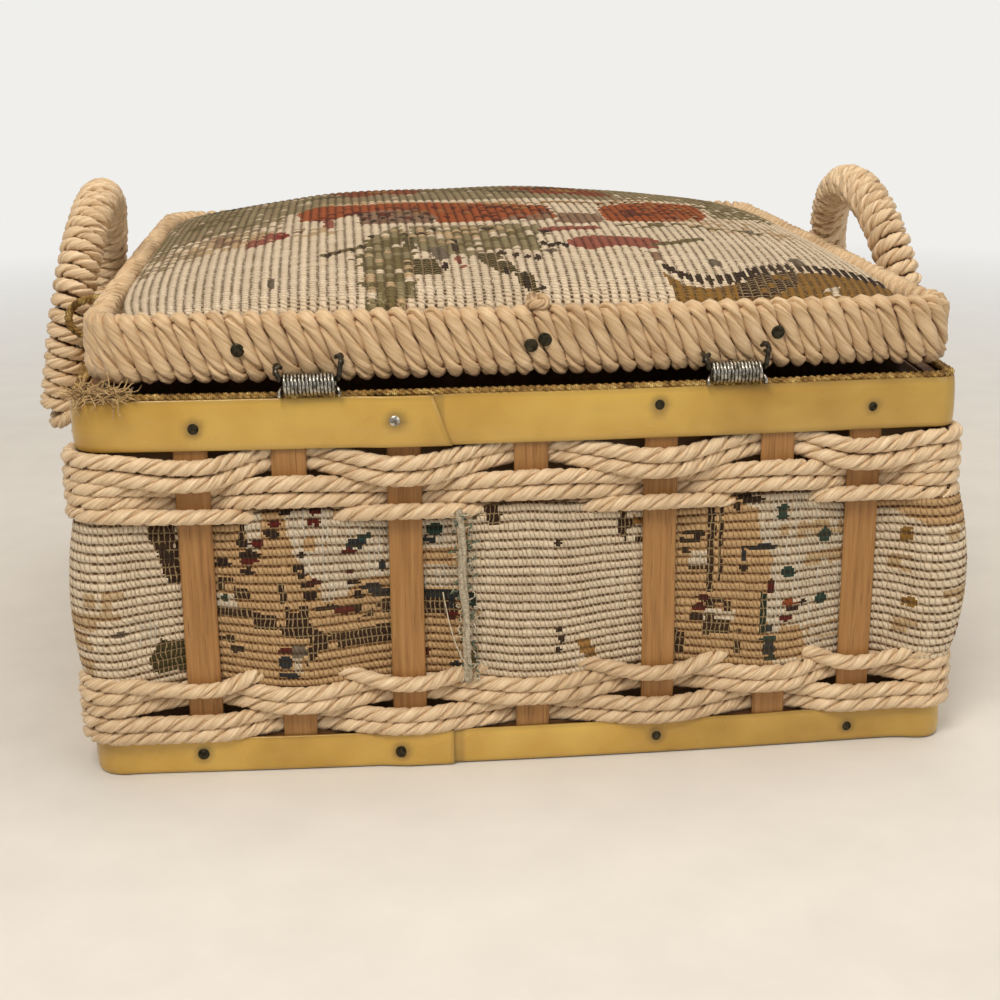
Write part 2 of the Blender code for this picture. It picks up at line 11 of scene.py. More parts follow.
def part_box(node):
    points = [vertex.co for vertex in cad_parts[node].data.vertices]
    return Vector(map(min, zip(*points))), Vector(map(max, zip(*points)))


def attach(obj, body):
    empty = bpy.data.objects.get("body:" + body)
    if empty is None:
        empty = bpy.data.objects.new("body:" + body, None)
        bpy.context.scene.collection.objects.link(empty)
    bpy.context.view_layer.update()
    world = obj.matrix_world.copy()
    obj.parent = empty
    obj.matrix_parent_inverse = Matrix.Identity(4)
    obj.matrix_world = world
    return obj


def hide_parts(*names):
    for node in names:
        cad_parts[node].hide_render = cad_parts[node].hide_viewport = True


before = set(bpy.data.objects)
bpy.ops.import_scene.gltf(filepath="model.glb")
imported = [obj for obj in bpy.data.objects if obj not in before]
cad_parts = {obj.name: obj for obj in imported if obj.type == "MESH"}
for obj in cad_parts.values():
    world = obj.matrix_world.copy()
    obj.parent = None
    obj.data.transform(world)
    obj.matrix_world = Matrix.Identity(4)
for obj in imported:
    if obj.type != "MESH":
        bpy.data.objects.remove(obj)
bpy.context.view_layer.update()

MM = 0.001
TAU = 2 * math.pi

# Sizes, in millimetres

BODY_SIZE = (246.0, 246.0)
BODY_CORNERS = (7.0, 13.0, 13.0, 9.5)
BODY_BOW = (3.0, 3.0)
BODY_HEIGHT = 109.0
LID_SIZE = (238.0, 240.0)
LID_CORNERS = (10.0, 15.0, 15.0, 14.0)
LID_BOW = (2.0, 0.3)
RIM_LOW, RIM_TOP = 112.4, 134.1
SLAT_SHARES = (-0.74, -0.525, -0.27, 0.015, 0.31, 0.58, 0.785)
SLAT_WIDTH, SLAT_THICK = 9.5, 1.6
WALL_MIDDLE = -2.29
CORD_RADIUS = 2.2
CORD_LAY = 14.0
SWING = 2.95


def noise_line(count, scale, seed, closed=True):
    """Smooth random numbers, about -1 to 1, that change over this many steps."""
    rng = np.random.default_rng(seed)
    knots = max(4, int(count / scale))
    values = rng.uniform(-1, 1, knots)
    if closed:
        values = np.append(values, values[:2])
        knots += 1
        at = np.linspace(0, knots - 1, count, endpoint=False)
    else:
        values = np.append(values, values[-1])
        at = np.linspace(0, knots - 1, count)
    low = np.floor(at).astype(int)
    part = at - low
    part = part * part * (3 - 2 * part)
    return values[low] * (1 - part) + values[np.minimum(low + 1, len(values) - 1)] * part


class Track:
    """The line round a plan, anticlockwise from the middle of the near side, by the distance along it."""

    def __init__(self, size, radii, bow, bow_run):
        """The radii are of the corners at the near right, far right, far left and near left."""
        step = 0.5
        half = (size[0] / 2, size[1] / 2)
        points, tips = [], []
        for number in range(4):
            wide, reach = half[number % 2], half[1 - number % 2]
            before, after = radii[number - 1], radii[number]
            face, onward = self.directions(number)
            along = np.arange(-(wide - before), wide - after, step)
            out = reach + bow[number % 2] * np.clip(1 - (along / bow_run[number % 2]) ** 2, 0, 1)
            points.append(np.outer(out, face) + np.outer(along, onward))
            turn = np.arange(0, math.pi / 2, step / after)
            centre = face * (reach - after) + onward * (wide - after)
            points.append(centre + after * (np.outer(np.cos(turn), face) + np.outer(np.sin(turn), onward)))
            tips.append(centre + after * (face + onward) * math.sqrt(0.5))
        line = np.concatenate(points)
        start = int(np.argmin(np.hypot(line[:, 0], line[:, 1] + half[1] + bow[0])))
        line = np.roll(line, -start, 0)
        self.line = np.vstack([line, line[:1]])
        self.s = path_lengths(self.line)
        self.length = self.s[-1]
        wide_line = np.vstack([line[-6:], line, line[:6]])
        tangent = wide_line[12:] - wide_line[:-12]
        tangent /= np.linalg.norm(tangent, axis=1)[:, None]
        normal = np.stack([tangent[:, 1], -tangent[:, 0]], 1)
        self.normals = np.vstack([normal, normal[:1]])
        reaches = [half[1 - number % 2] + bow[number % 2] for number in range(4)]
        middles = [self.directions(number)[0] * reach for number, reach in enumerate(reaches)]
        self.middles = [self.nearest(point) for point in middles]
        self.corners = [self.nearest(point) for point in tips]
        self.swells = []

    @staticmethod
    def directions(number):
        """Which way a side faces, and which way the line runs along it."""
        turn = (number - 1) * math.pi / 2
        face = np.array([math.cos(turn), math.sin(turn)])
        return face, np.array([-face[1], face[0]])

    def nearest(self, point):
        return self.s[np.argmin(np.hypot(*(self.line[:-1] - point).T))]

    def swell(self, corner, width, low, high, z_low, z_high):
        """Makes a corner stand out by one amount low down and another high up."""
        self.swells.append((self.corners[corner], width, low, high, z_low, z_high))

    def normal(self, s):
        s = np.mod(s, self.length)
        normal = sampled(s, self.s, self.normals)
        return normal / np.linalg.norm(normal, axis=-1)[..., None]

    def at(self, s, out, z):
        """Points this far along, out from the line and up."""
        s, out, z = np.broadcast_arrays(np.asarray(s, float), out, z)
        wrapped = np.mod(s, self.length)
        out = np.array(out, float)
        for middle, width, low, high, z_low, z_high in self.swells:
            away = self.apart(wrapped, middle)
            amount = np.interp(z, [z_low, z_high], [low, high])
            out += amount * np.exp(-((away / width) ** 2))
        place = sampled(wrapped, self.s, self.line) + self.normal(s) * out[..., None]
        return np.concatenate([place, z[..., None]], -1)

    def facing(self, s):
        """Which way the line faces, as level directions."""
        normal = self.normal(s)
        return np.concatenate([normal, np.zeros_like(normal[..., :1])], -1)

    def apart(self, s, place):
        """How far along the first place is from the second, the shorter way round."""
        return (s - place + self.length / 2) % self.length - self.length / 2

    def steps(self, step):
        """Places about this far apart, all the way round."""
        count = int(self.length / step)
        return np.arange(count) * self.length / count


def path_lengths(path):
    """How far along a path each of its points lies."""
    return np.append(0, np.cumsum(np.linalg.norm(np.diff(path, axis=0), axis=1)))


def sampled(at, lengths, points):
    """What lies this far along a line, from its points and how far along each of them is."""
    return np.stack([np.interp(at, lengths, column) for column in points.T], -1)


def blunted(wave, power):
    """A sine or cosine that stays longer near its peaks, so that an ellipse turns boxy."""
    return np.sign(wave) * np.abs(wave) ** power


BODY = Track(BODY_SIZE, BODY_CORNERS, BODY_BOW, (110.0, 110.0))
BODY.swell(0, 9.0, 2.2, 0.0, 0.0, BODY_HEIGHT)
BODY.swell(3, 9.0, 0.6, -0.4, 0.0, BODY_HEIGHT)
LID = Track(LID_SIZE, LID_CORNERS, LID_BOW, (104.0, 105.0))
LID.swell(0, 11.0, 3.2, 3.2, RIM_LOW, RIM_TOP)
SLATS = [
    BODY.middles[side] + share * BODY_SIZE[0] / 2 for side in range(4) for share in SLAT_SHARES
]


# Meshes

def add_piece(name, vertices, polygons, uvs=None, colours=None, floats=None):
    """An object from points in millimetres and lists of corners, with its corners' map and colours."""
    mesh = bpy.data.meshes.new(name)
    mesh.vertices.add(len(vertices))
    mesh.vertices.foreach_set("co", (np.asarray(vertices) * MM).astype(np.float32).ravel())
    sizes = np.concatenate([np.full(len(group), group.shape[1]) for group in polygons])
    corners = np.concatenate([group.ravel() for group in polygons])
    mesh.loops.add(len(corners))
    mesh.loops.foreach_set("vertex_index", corners.astype(np.int32))
    mesh.polygons.add(len(sizes))
    starts = np.append(0, np.cumsum(sizes)[:-1])
    mesh.polygons.foreach_set("loop_start", starts.astype(np.int32))
    mesh.polygons.foreach_set("loop_total", sizes.astype(np.int32))
    mesh.polygons.foreach_set("use_smooth", np.ones(len(sizes), bool))
    if uvs is not None:
        layer = mesh.uv_layers.new(name="lay")
        layer.data.foreach_set("uv", np.asarray(uvs, np.float32).ravel())
    for key, values in (colours or {}).items():
        layer = mesh.color_attributes.new(key, "FLOAT_COLOR", "CORNER")
        layer.data.foreach_set("color", np.asarray(values, np.float32).ravel())
    for key, values in (floats or {}).items():
        layer = mesh.attributes.new(key, "FLOAT", "POINT")
        layer.data.foreach_set("value", np.asarray(values, np.float32).ravel())
    mesh.update(calc_edges=True)
    mesh.validate(clean_customdata=False)
    obj = bpy.data.objects.new(name, mesh)
    bpy.context.scene.collection.objects.link(obj)
    return obj


def grid_faces(rows, columns, wrap_rows, wrap_columns):
    """Corner indices of a grid's quads, and the (row, column) steps of each corner."""
    i = np.arange(rows if wrap_rows else rows - 1)
    j = np.arange(columns if wrap_columns else columns - 1)
    i, j = (a.ravel() for a in np.meshgrid(i, j, indexing="ij"))
    steps_i = np.stack([i, i + 1, i + 1, i], 1)
    steps_j = np.stack([j, j, j + 1, j + 1], 1)
    index = (steps_i % rows) * columns + steps_j % columns
    return index, steps_i, steps_j


def grid_edge(rows, columns):
    """The indices of a grid's outer points, in order round it."""
    return np.concatenate([
        np.arange(rows - 1) * columns,
        (rows - 1) * columns + np.arange(columns - 1),
        np.arange(rows - 1, 0, -1) * columns + columns - 1,
        np.arange(columns - 1, 0, -1),
    ])


def volume_of(vertices, quads):
    """Six times the volume inside, below zero where the faces point inward."""
    a, b, c, d = (vertices[quads[:, k]] for k in range(4))
    first = np.einsum("ij,ij->i", a, np.cross(b, c)).sum()
    return first + np.einsum("ij,ij->i", a, np.cross(c, d)).sum()


def turned_outward(vertices, quads, *steps):
    """The faces and their steps, turned round if the form is inside out."""
    if volume_of(vertices, quads) < 0:
        return tuple(group[:, ::-1] for group in (quads, *steps))
    return (quads, *steps)


def add_tubes(name, rings, closed, lengths):
    """One object of several tubes, each a (sections, points, 3) array; its map runs along and round."""
    vertices, polygons, caps, uvs, cap_uvs = [], [], [], [], []
    offset = 0
    for number, ring in enumerate(rings):
        rows, columns = ring.shape[:2]
        flat = ring.reshape(-1, 3)
        quads, si, sj = turned_outward(flat, *grid_faces(rows, columns, closed, True))
        along = lengths[number]
        step = along[-1] - along[-2]
        along = np.append(along, along[-1] + step)
        uvs.append(np.stack([along[si], sj / columns + number * 0.37], -1).reshape(-1, 2))
        polygons.append(quads + offset)
        if not closed:
            first, last = np.arange(columns), np.arange(columns) + (rows - 1) * columns
            axis = np.cross(flat[first[1]] - flat[first[0]], flat[first[2]] - flat[first[1]])
            near = ring[min(2, rows - 1)].mean(0) - ring[0].mean(0)
            turned = axis @ near > 0
            caps.append((first[::-1] if turned else first)[None] + offset)
            caps.append((last if turned else last[::-1])[None] + offset)
            for s in (along[0], along[-2]):
                cap_uvs.append(np.full((columns, 2), (s, 0.5)))
        vertices.append(flat)
        offset += len(flat)
    shapes = [np.concatenate(polygons)]
    maps = list(uvs)
    if caps:
        shapes.append(np.concatenate(caps))
        maps += cap_uvs
    return add_piece(name, np.concatenate(vertices), shapes, np.concatenate(maps))


def frames_along(path, reference, closed=False):
    """Unit tangents, normals near the reference and binormals along a path."""
    if closed:
        ahead = np.roll(path, -1, 0) - np.roll(path, 1, 0)
    else:
        ahead = np.gradient(path, axis=0)
    tangent = ahead / np.linalg.norm(ahead, axis=1)[:, None]
    normal = reference - (reference * tangent).sum(1)[:, None] * tangent
    normal /= np.linalg.norm(normal, axis=1)[:, None]
    return tangent, normal, np.cross(tangent, normal)


def twisted(name, path, reference, radius, lay, phase=0.0, plies=2, sides=10, closed=False, fill=0.9):
    """A cord of twisted plies: each ply is its own tube that winds, left-handed, round the path."""
    path = np.asarray(path, float)
    lengths = path_lengths(path)
    total = lengths[-1] + (np.linalg.norm(path[0] - path[-1]) if closed else 0)
    turns = total / lay
    if closed:
        turns = max(1, round(turns))
    _, normal, binormal = frames_along(path, reference, closed)
    angle = -TAU * turns * lengths / total + phase
    rings, along = [], []
    radius = np.broadcast_to(radius, len(path))
    for ply in range(plies):
        turn = angle + TAU * ply / plies
        outward = normal * np.cos(turn)[:, None] + binormal * np.sin(turn)[:, None]
        aside = -normal * np.sin(turn)[:, None] + binormal * np.cos(turn)[:, None]
        centre = path + outward * (radius * 0.45)[:, None]
        around = np.arange(sides) * TAU / sides
        ring = (
            centre[:, None]
            + outward[:, None] * (np.cos(around) * 0.55)[None, :, None] * radius[:, None, None]
            + aside[:, None] * (np.sin(around) * fill)[None, :, None] * radius[:, None, None]
        )
        rings.append(ring)
        along.append(lengths)
    return add_tubes(name, rings, closed, along)


def tube_rings(path, reference, radius, sides=8, closed=False):
    path = np.asarray(path, float)
    _, normal, binormal = frames_along(path, reference, closed)
    around = np.arange(sides) * TAU / sides
    radius = np.broadcast_to(radius, len(path))
    return (
        path[:, None]
        + normal[:, None] * np.cos(around)[None, :, None] * radius[:, None, None]
        + binormal[:, None] * np.sin(around)[None, :, None] * radius[:, None, None]
    )


def steady_reference(path, start):
    """A normal carried along a path without twist."""
    path = np.asarray(path, float)
    tangent = np.gradient(path, axis=0)
    tangent /= np.linalg.norm(tangent, axis=1)[:, None]
    normals = [np.asarray(start, float)]
    for k in range(len(path)):
        normal = normals[-1] - (normals[-1] @ tangent[k]) * tangent[k]
        normals.append(normal / np.linalg.norm(normal))
    return np.array(normals[1:])


def rounded_path(corners, step, radius=1.0):
    """Points about a step apart along straight runs whose corners are smoothed."""
    corners = np.asarray(corners, float)
    lengths = path_lengths(corners)
    at = np.linspace(0, lengths[-1], max(4, int(lengths[-1] / step)) + 1)
    line = sampled(at, lengths, corners)
    wide = max(1, int(radius / step))
    for _ in range(2):
        padded = np.vstack([line[:1]] * wide + [line] + [line[-1:]] * wide)
        line = np.stack([padded[k:k + len(line)] for k in range(2 * wide + 1)]).mean(0)
    line[0], line[-1] = corners[0], corners[-1]
    return line


def smooth(values, sigma, closed=False):
    """Values blurred over this many steps."""
    width = int(3 * sigma)
    kernel = np.exp(-0.5 * (np.arange(-width, width + 1) / sigma) ** 2)
    before, after = np.full(width, values[0]), np.full(width, values[-1])
    if closed:
        before, after = values[-width:], values[:width]
    return np.convolve(np.concatenate([before, values, after]), kernel / kernel.sum(), "valid")


def place(obj, body, slot, material, replaces=()):
    """Gives a piece its material and its body, and hides the nodes that it stands for; its slot is not used.
    """
    obj.data.materials.clear()
    obj.data.materials.append(material)
    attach(obj, body)
    if replaces:
        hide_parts(*replaces)
    return obj


# Materials

def linear(red, green, blue):
    """A colour written as 0 to 255 display numbers, as shader values."""
    out = []
    for value in (red, green, blue):
        c = value / 255
        out.append(c / 12.92 if c <= 0.04045 else ((c + 0.055) / 1.055) ** 2.4)
    return (*out, 1.0)


class Shader:
    """Builds one material's nodes."""

    def __init__(self, name, roughness=0.6, metallic=0.0, specular=0.5):
        self.material = bpy.data.materials.new(name)
        self.material.use_nodes = True
        self.tree = self.material.node_tree
        self.surface = self.tree.nodes["Principled BSDF"]
        self.surface.inputs["Roughness"].default_value = roughness
        self.surface.inputs["Metallic"].default_value = metallic
        self.surface.inputs["Specular IOR Level"].default_value = specular

    def node(self, kind, inputs=(), **settings):
        """A new node with its settings, and in its inputs values or other nodes' outputs."""
        made = self.tree.nodes.new(kind)
        for key, value in settings.items():
            setattr(made, key, value)
        for key, value in dict(inputs).items():
            self.feed(made.inputs[key], value)
        return made

    def feed(self, socket, value):
        if isinstance(value, bpy.types.NodeSocket):
            self.tree.links.new(value, socket)
        else:
            socket.default_value = value

    def math(self, operation, *values, clamp=False):
        made = self.node("ShaderNodeMath", enumerate(values), operation=operation, use_clamp=clamp)
        return made.outputs[0]

    def plus(self, first, second):
        return self.math("ADD", first, second)

    def minus(self, first, second):
        return self.math("SUBTRACT", first, second)

    def times(self, first, second, clamp=False):
        return self.math("MULTIPLY", first, second, clamp=clamp)

    def floor(self, value):
        return self.math("FLOOR", value)

    def arch(self, value):
        """Zero at whole numbers and one half way between them."""
        return self.math("ABSOLUTE", self.math("SINE", self.times(value, math.pi)))

    def stretched_noise(self, u, v, u_scale, v_scale, detail=2.0, rough=0.55):
        """Noise over a piece's own map, finer along one direction than along the other."""
        return self.noise(self.join(self.times(u, u_scale), self.times(v, v_scale)), 1.0, detail, rough)

    def chance(self, x, y):
        """A random number that stays the same at one place of a piece's own map."""
        made = self.node("ShaderNodeTexWhiteNoise", {"Vector": self.join(x, y)}, noise_dimensions="2D")
        return made.outputs["Value"]

    def mix(self, share, first, second, blend="MIX"):
        inputs = {"Factor": share, "A": first, "B": second}
        return self.node("ShaderNodeMix", inputs, data_type="RGBA", blend_type=blend).outputs["Result"]

    def tint(self, tone, value, low, high, share, colour):
        """The tone with a share of a colour laid over it as the value goes from low to high."""
        return self.mix(self.span(value, low, high, 0.0, share), tone, colour)

    def coordinate(self, kind="Object"):
        return self.node("ShaderNodeTexCoord").outputs[kind]

    def scaled(self, vector, scale):
        return self.node("ShaderNodeMapping", {"Vector": vector, "Scale": scale}).outputs[0]

    def noise(self, vector, scale, detail=3.0, rough=0.55, distortion=0.0):
        inputs = {"Vector": vector, "Scale": scale, "Detail": detail, "Roughness": rough}
        inputs["Distortion"] = distortion
        return self.node("ShaderNodeTexNoise", inputs).outputs["Fac"]

    def ramp(self, value, *stops):
        made = self.node("ShaderNodeValToRGB", {0: value})
        elements = made.color_ramp.elements
        while len(elements) < len(stops):
            elements.new(0.5)
        for element, (where, colour) in zip(elements, stops):
            element.position = where
            element.color = colour
        return made.outputs[0]

    def span(self, value, low, high, to_low=0.0, to_high=1.0):
        inputs = {"Value": value, "From Min": low, "From Max": high, "To Min": to_low, "To Max": to_high}
        return self.node("ShaderNodeMapRange", inputs, clamp=True).outputs[0]

    def attribute(self, name, output="Color"):
        return self.node("ShaderNodeAttribute", attribute_name=name).outputs[output]

    def split(self, vector):
        return self.node("ShaderNodeSeparateXYZ", {0: vector}).outputs

    def join(self, x, y, z=0.0):
        return self.node("ShaderNodeCombineXYZ", enumerate((x, y, z))).outputs[0]

    def bump(self, height, distance, strength=1.0):
        inputs = {"Height": height, "Distance": distance, "Strength": strength}
        self.feed(self.surface.inputs["Normal"], self.node("ShaderNodeBump", inputs).outputs[0])

    def colour(self, value):
        self.feed(self.surface.inputs["Base Color"], value)

    def rough(self, value):
        self.feed(self.surface.inputs["Roughness"], value)

    def done(self, **surface):
        """Sets other inputs of the surface and hands the material over."""
        for key, value in surface.items():
            self.surface.inputs[key.replace("_", " ").title()].default_value = value
        return self.material


def paper_cord_material(name, light, middle, dark, gloss=0.5):
    """Twisted paper: fine creases along each ply with painted shade in their hollows, soft sheen, uneven tone
    and darker patches here and there.
    """
    shader = Shader(name, 0.5)
    u, v, _ = shader.split(shader.coordinate("UV"))
    # creases slant a little across each ply
    slanted = shader.plus(v, shader.times(u, 0.012))
    fibres = shader.stretched_noise(u, slanted, 0.10, 9.0, 4.0, 0.6)
    broad = shader.stretched_noise(u, slanted, 0.06, 2.2)
    place_noise = shader.noise(shader.coordinate(), 22.0, 3.0)
    # painted shade: the tone follows the creases, darker where their bump is low
    tone = shader.ramp(fibres, (0.30, dark), (0.47, middle), (0.66, light))
    tone = shader.tint(tone, broad, 0.35, 0.7, 0.45, light)
    tone = shader.tint(tone, place_noise, 0.48, 0.72, 0.35, dark)
    shader.colour(tone)
    shader.rough(shader.span(fibres, 0.3, 0.7, gloss + 0.16, gloss - 0.06))
    shader.bump(shader.plus(fibres, shader.times(broad, 0.6)), 0.00035, 0.8)
    return shader.done(sheen_weight=0.15)


def oak_material(name, light, middle, dark, along="z"):
    """Open-grained wood with short dark pores that run along the piece."""
    shader = Shader(name, 0.5)
    scale = {"z": (1.0, 1.0, 0.035), "x": (0.035, 1.0, 1.0)}[along]
    where = shader.scaled(shader.coordinate(), scale)
    grain = shader.noise(where, 900.0, 5.0, 0.65)
    pores = shader.noise(where, 2300.0, 2.0, 0.5)
    broad = shader.noise(shader.scaled(shader.coordinate(), tuple(min(1, 4 * s) for s in scale)), 130.0, 2.0)
    tone = shader.ramp(grain, (0.30, dark), (0.48, middle), (0.70, light))
    tone = shader.tint(tone, broad, 0.4, 0.65, 0.4, light)
    pore = shader.span(pores, 0.62, 0.70)
    tone = shader.mix(shader.times(pore, 0.5), tone, linear(92, 52, 26))
    shader.colour(tone)
    shader.rough(shader.span(grain, 0.3, 0.7, 0.62, 0.45))
    shader.bump(shader.minus(grain, shader.times(pore, 0.7)), 0.00012, 0.6)
    return shader.material


def plastic_material():
    """Aged yellow plastic, paler in its middle and darker near its edges and ends, with grime round its nails
    and painted shade beside the lap's edge and over a stretch round the near right corner.
    """
    shader = Shader("aged_yellow_plastic", 0.3)
    grime_and_shade = shader.attribute("grime_and_shade", "Fac")
    where = shader.coordinate()
    cloud = shader.noise(where, 28.0, 3.0)
    streak = shader.noise(shader.scaled(where, (1, 1, 3.5)), 90.0, 4.0, 0.6)
    speck = shader.noise(where, 1500.0, 2.0)
    tones = [(0.35, linear(182, 142, 56)), (0.52, linear(202, 162, 72)), (0.68, linear(212, 176, 84))]
    tone = shader.ramp(cloud, *tones)
    tone = shader.tint(tone, streak, 0.45, 0.75, 0.35, linear(196, 158, 86))
    tone = shader.tint(tone, speck, 0.66, 0.78, 0.35, linear(150, 112, 52))
    # this mask darkens the plastic: near its edges and ends, grime round the nails, and painted shade beside
    # the lap's edge and round the near right corner
    grime_and_shade_share = shader.times(grime_and_shade, shader.span(streak, 0.25, 0.7, 1.15, 0.75), clamp=True)
    tone = shader.mix(grime_and_shade_share, tone, linear(96, 74, 38))
    shader.colour(tone)
    shader.rough(shader.plus(shader.span(cloud, 0.3, 0.7, 0.22, 0.32), shader.times(grime_and_shade, 0.35)))
    shader.bump(shader.plus(cloud, shader.times(streak, 0.35)), 0.0006, 0.25)
    return shader.done(
        subsurface_weight=0.12, subsurface_radius=(0.004, 0.0025, 0.001), coat_weight=0.35, coat_roughness=0.12
    )


def tapestry_material(name, rib_pitch, bead_pitch, depth):
    """Ribbed tapestry: slanted beads of yarn on the ribs, dots between them, pale ties on dark yarn."""
    shader = Shader(name, 0.9, 0.0, 0.15)
    yarn = shader.attribute("yarn")
    ties = shader.attribute("yarn", "Alpha")
    ground = shader.attribute("ground")
    floats = shader.attribute("ground", "Alpha")
    u, v, _ = shader.split(shader.coordinate("UV"))
    slow = shader.minus(shader.stretched_noise(u, v, 0.16, 0.16, 1.0), 0.5)
    quick = shader.minus(shader.stretched_noise(u, v, 0.9, 0.5), 0.5)
    across = shader.plus(shader.math("DIVIDE", v, rib_pitch), shader.times(quick, 0.22))
    slant = shader.times(shader.minus(shader.math("FRACT", across), 0.5), 0.42)
    drift = shader.plus(shader.times(slow, 1.6), shader.times(quick, 0.75))
    along = shader.plus(shader.math("DIVIDE", u, bead_pitch), drift)
    leaning = shader.plus(along, slant)
    rib, bead, upright = shader.arch(across), shader.arch(leaning), shader.arch(along)
    chance = shader.chance(shader.floor(along), shader.floor(across))
    column = shader.chance(shader.floor(shader.plus(along, 0.5)), shader.floor(shader.times(across, 0.25)))
    beaded = shader.math("MULTIPLY_ADD", shader.math("POWER", bead, 0.7), 0.5, 0.5)
    height = shader.times(shader.math("POWER", rib, 0.8), beaded)
    valley = shader.span(rib, 0.62, 0.2)
    open_hole = shader.times(shader.span(upright, 0.5, 0.88), shader.span(chance, 0.12, 0.4))
    hole = shader.times(shader.span(rib, 0.56, 0.3), open_hole)
    upright_tie = shader.span(upright, 0.46, 0.24)
    level_tie = shader.times(shader.span(rib, 0.34, 0.14), 0.75)
    tie = shader.times(shader.math("MAXIMUM", upright_tie, level_tie), ties)
    loose = shader.times(shader.span(column, 0.55, 0.6), floats)
    loose = shader.times(shader.span(upright, 0.42, 0.2), loose)
    fuzz = shader.noise(shader.coordinate(), 2400.0, 3.0, 0.7)
    patch = shader.noise(shader.coordinate(), 60.0, 3.0)
    dim = shader.mix(1.0, yarn, (0.60, 0.47, 0.33, 1), "MULTIPLY")
    shadow = shader.mix(0.55, dim, ground)
    tone = shader.mix(shader.span(fuzz, 0.32, 0.68, 0.0, 0.35), yarn, dim)
    tone = shader.mix(shader.times(chance, 0.2), tone, dim)
    tone = shader.tint(tone, bead, 0.55, 0.0, 0.72, shadow)
    tone = shader.mix(shader.times(valley, depth), tone, shadow)
    tone = shader.mix(shader.times(hole, 0.95), tone, ground)
    thread = shader.mix(shader.span(fuzz, 0.3, 0.7), linear(156, 126, 84), linear(208, 182, 138))
    tone = shader.mix(tie, tone, thread)
    tone = shader.mix(loose, tone, linear(236, 228, 210))
    tone = shader.tint(tone, patch, 0.45, 0.75, 0.15, linear(140, 112, 76))
    shader.colour(tone)
    raised = shader.times(shader.math("MAXIMUM", tie, loose), 0.6)
    lifted = shader.minus(shader.plus(height, raised), shader.times(hole, 0.5))
    shader.bump(shader.plus(lifted, shader.times(fuzz, 0.45)), 0.0012, 0.9)
    return shader.done(sheen_weight=0.03, sheen_roughness=0.6)


def satin_material(name, light, dark):
    """Satin: a tight diagonal weave with a soft sheen and faint creases, with painted shade in the creases'
    hollows.
    """
    shader = Shader(name, 0.42)
    where = shader.coordinate()
    x, y, z = shader.split(where)
    diagonal = shader.plus(shader.plus(x, y), shader.times(z, 1.3))
    twill = shader.math("SINE", shader.times(diagonal, 9000.0))
    crease = shader.noise(shader.scaled(where, (1, 1, 0.3)), 45.0, 3.0, 0.5, 0.6)
    fine = shader.noise(where, 1800.0, 2.0)
    # painted shade along the creases: darker in their hollows, where the bump is low, and paler on their
    # crests
    tone = shader.mix(shader.span(crease, 0.3, 0.7), dark, light)
    tone = shader.tint(tone, fine, 0.35, 0.7, 0.2, dark)
    shader.colour(tone)
    shader.rough(shader.span(crease, 0.3, 0.7, 0.5, 0.36))
    shader.bump(shader.plus(shader.times(twill, 0.08), crease), 0.0007, 0.5)
    return shader.done(sheen_weight=0.4, anisotropic=0.4)


def metal_material(name, light, dark, roughness, spotted=0.5):
    """Old metal with tarnish spots and fine scratches."""
    shader = Shader(name, roughness, 1.0)
    where = shader.coordinate()
    spots = shader.noise(where, 700.0, 4.0, 0.6)
    fine = shader.noise(where, 3500.0, 2.0)
    tone = shader.mix(shader.span(spots, 0.5 - spotted / 4, 0.62), light, dark)
    shader.colour(tone)
    shader.rough(shader.span(spots, 0.35, 0.7, roughness - 0.08, roughness + 0.25))
    shader.bump(shader.plus(spots, shader.times(fine, 0.4)), 0.00008, 0.5)
    return shader.material


def braid_material():
    """Gold braid: metallic wraps over a brown core, worn dull in places."""
    shader = Shader("gold_braid_thread", 0.38, 0.5)
    u, v, _ = shader.split(shader.coordinate("UV"))
    slanted = shader.times(shader.plus(u, shader.times(v, 0.6)), 7.5)
    wraps = shader.math("ABSOLUTE", shader.math("SINE", slanted))
    worn = shader.noise(shader.coordinate(), 300.0, 4.0, 0.6)
    tones = [(0.34, linear(92, 66, 34)), (0.50, linear(172, 134, 70)), (0.66, linear(226, 196, 124))]
    tone = shader.ramp(worn, *tones)
    tone = shader.tint(tone, wraps, 0.55, 0.1, 0.7, linear(84, 60, 30))
    shader.colour(tone)
    shader.rough(shader.span(worn, 0.3, 0.7, 0.55, 0.3))
    shader.bump(wraps, 0.0003, 0.8)
    return shader.material


def card_material():
    """Brown card with a rough fibrous face."""
    shader = Shader("brown_card", 0.85)
    where = shader.coordinate()
    fibres = shader.noise(where, 420.0, 5.0, 0.7)
    cloud = shader.noise(where, 30.0, 3.0)
    tones = [(0.3, linear(84, 60, 38)), (0.5, linear(122, 92, 62)), (0.7, linear(150, 120, 84))]
    tone = shader.ramp(fibres, *tones)
    tone = shader.tint(tone, cloud, 0.4, 0.7, 0.4, linear(96, 70, 46))
    shader.colour(tone)
    shader.bump(fibres, 0.0003, 0.6)
    return shader.material


PAPER = paper_cord_material(
    "pale_paper_cord", linear(248, 224, 188), linear(214, 184, 144), linear(166, 132, 92)
)
RIM_PAPER = paper_cord_material(
    "rim_paper_cord", linear(228, 200, 160), linear(202, 170, 128), linear(154, 120, 80)
)
OAK = oak_material("light_oak", linear(176, 130, 76), linear(158, 112, 60), linear(134, 92, 48))
HOOP = oak_material("hoop_wood", linear(150, 108, 70), linear(122, 84, 52), linear(90, 58, 34), along="x")
PLASTIC = plastic_material()
CARD = card_material()
SATIN = satin_material("brown_satin", linear(176, 134, 84), linear(128, 92, 54))
STEEL = metal_material("spring_wire", linear(186, 182, 172), linear(96, 92, 82), 0.24, 0.3)
HOOK = metal_material("hook_wire", linear(92, 86, 76), linear(50, 46, 40), 0.4, 0.6)
NAIL_DARK = metal_material("dark_nail", linear(86, 80, 64), linear(48, 44, 34), 0.5, 0.9)
NAIL_BRIGHT = metal_material("bright_nail", linear(214, 210, 200), linear(120, 112, 98), 0.25, 0.3)
BRAID = braid_material()


# Slats

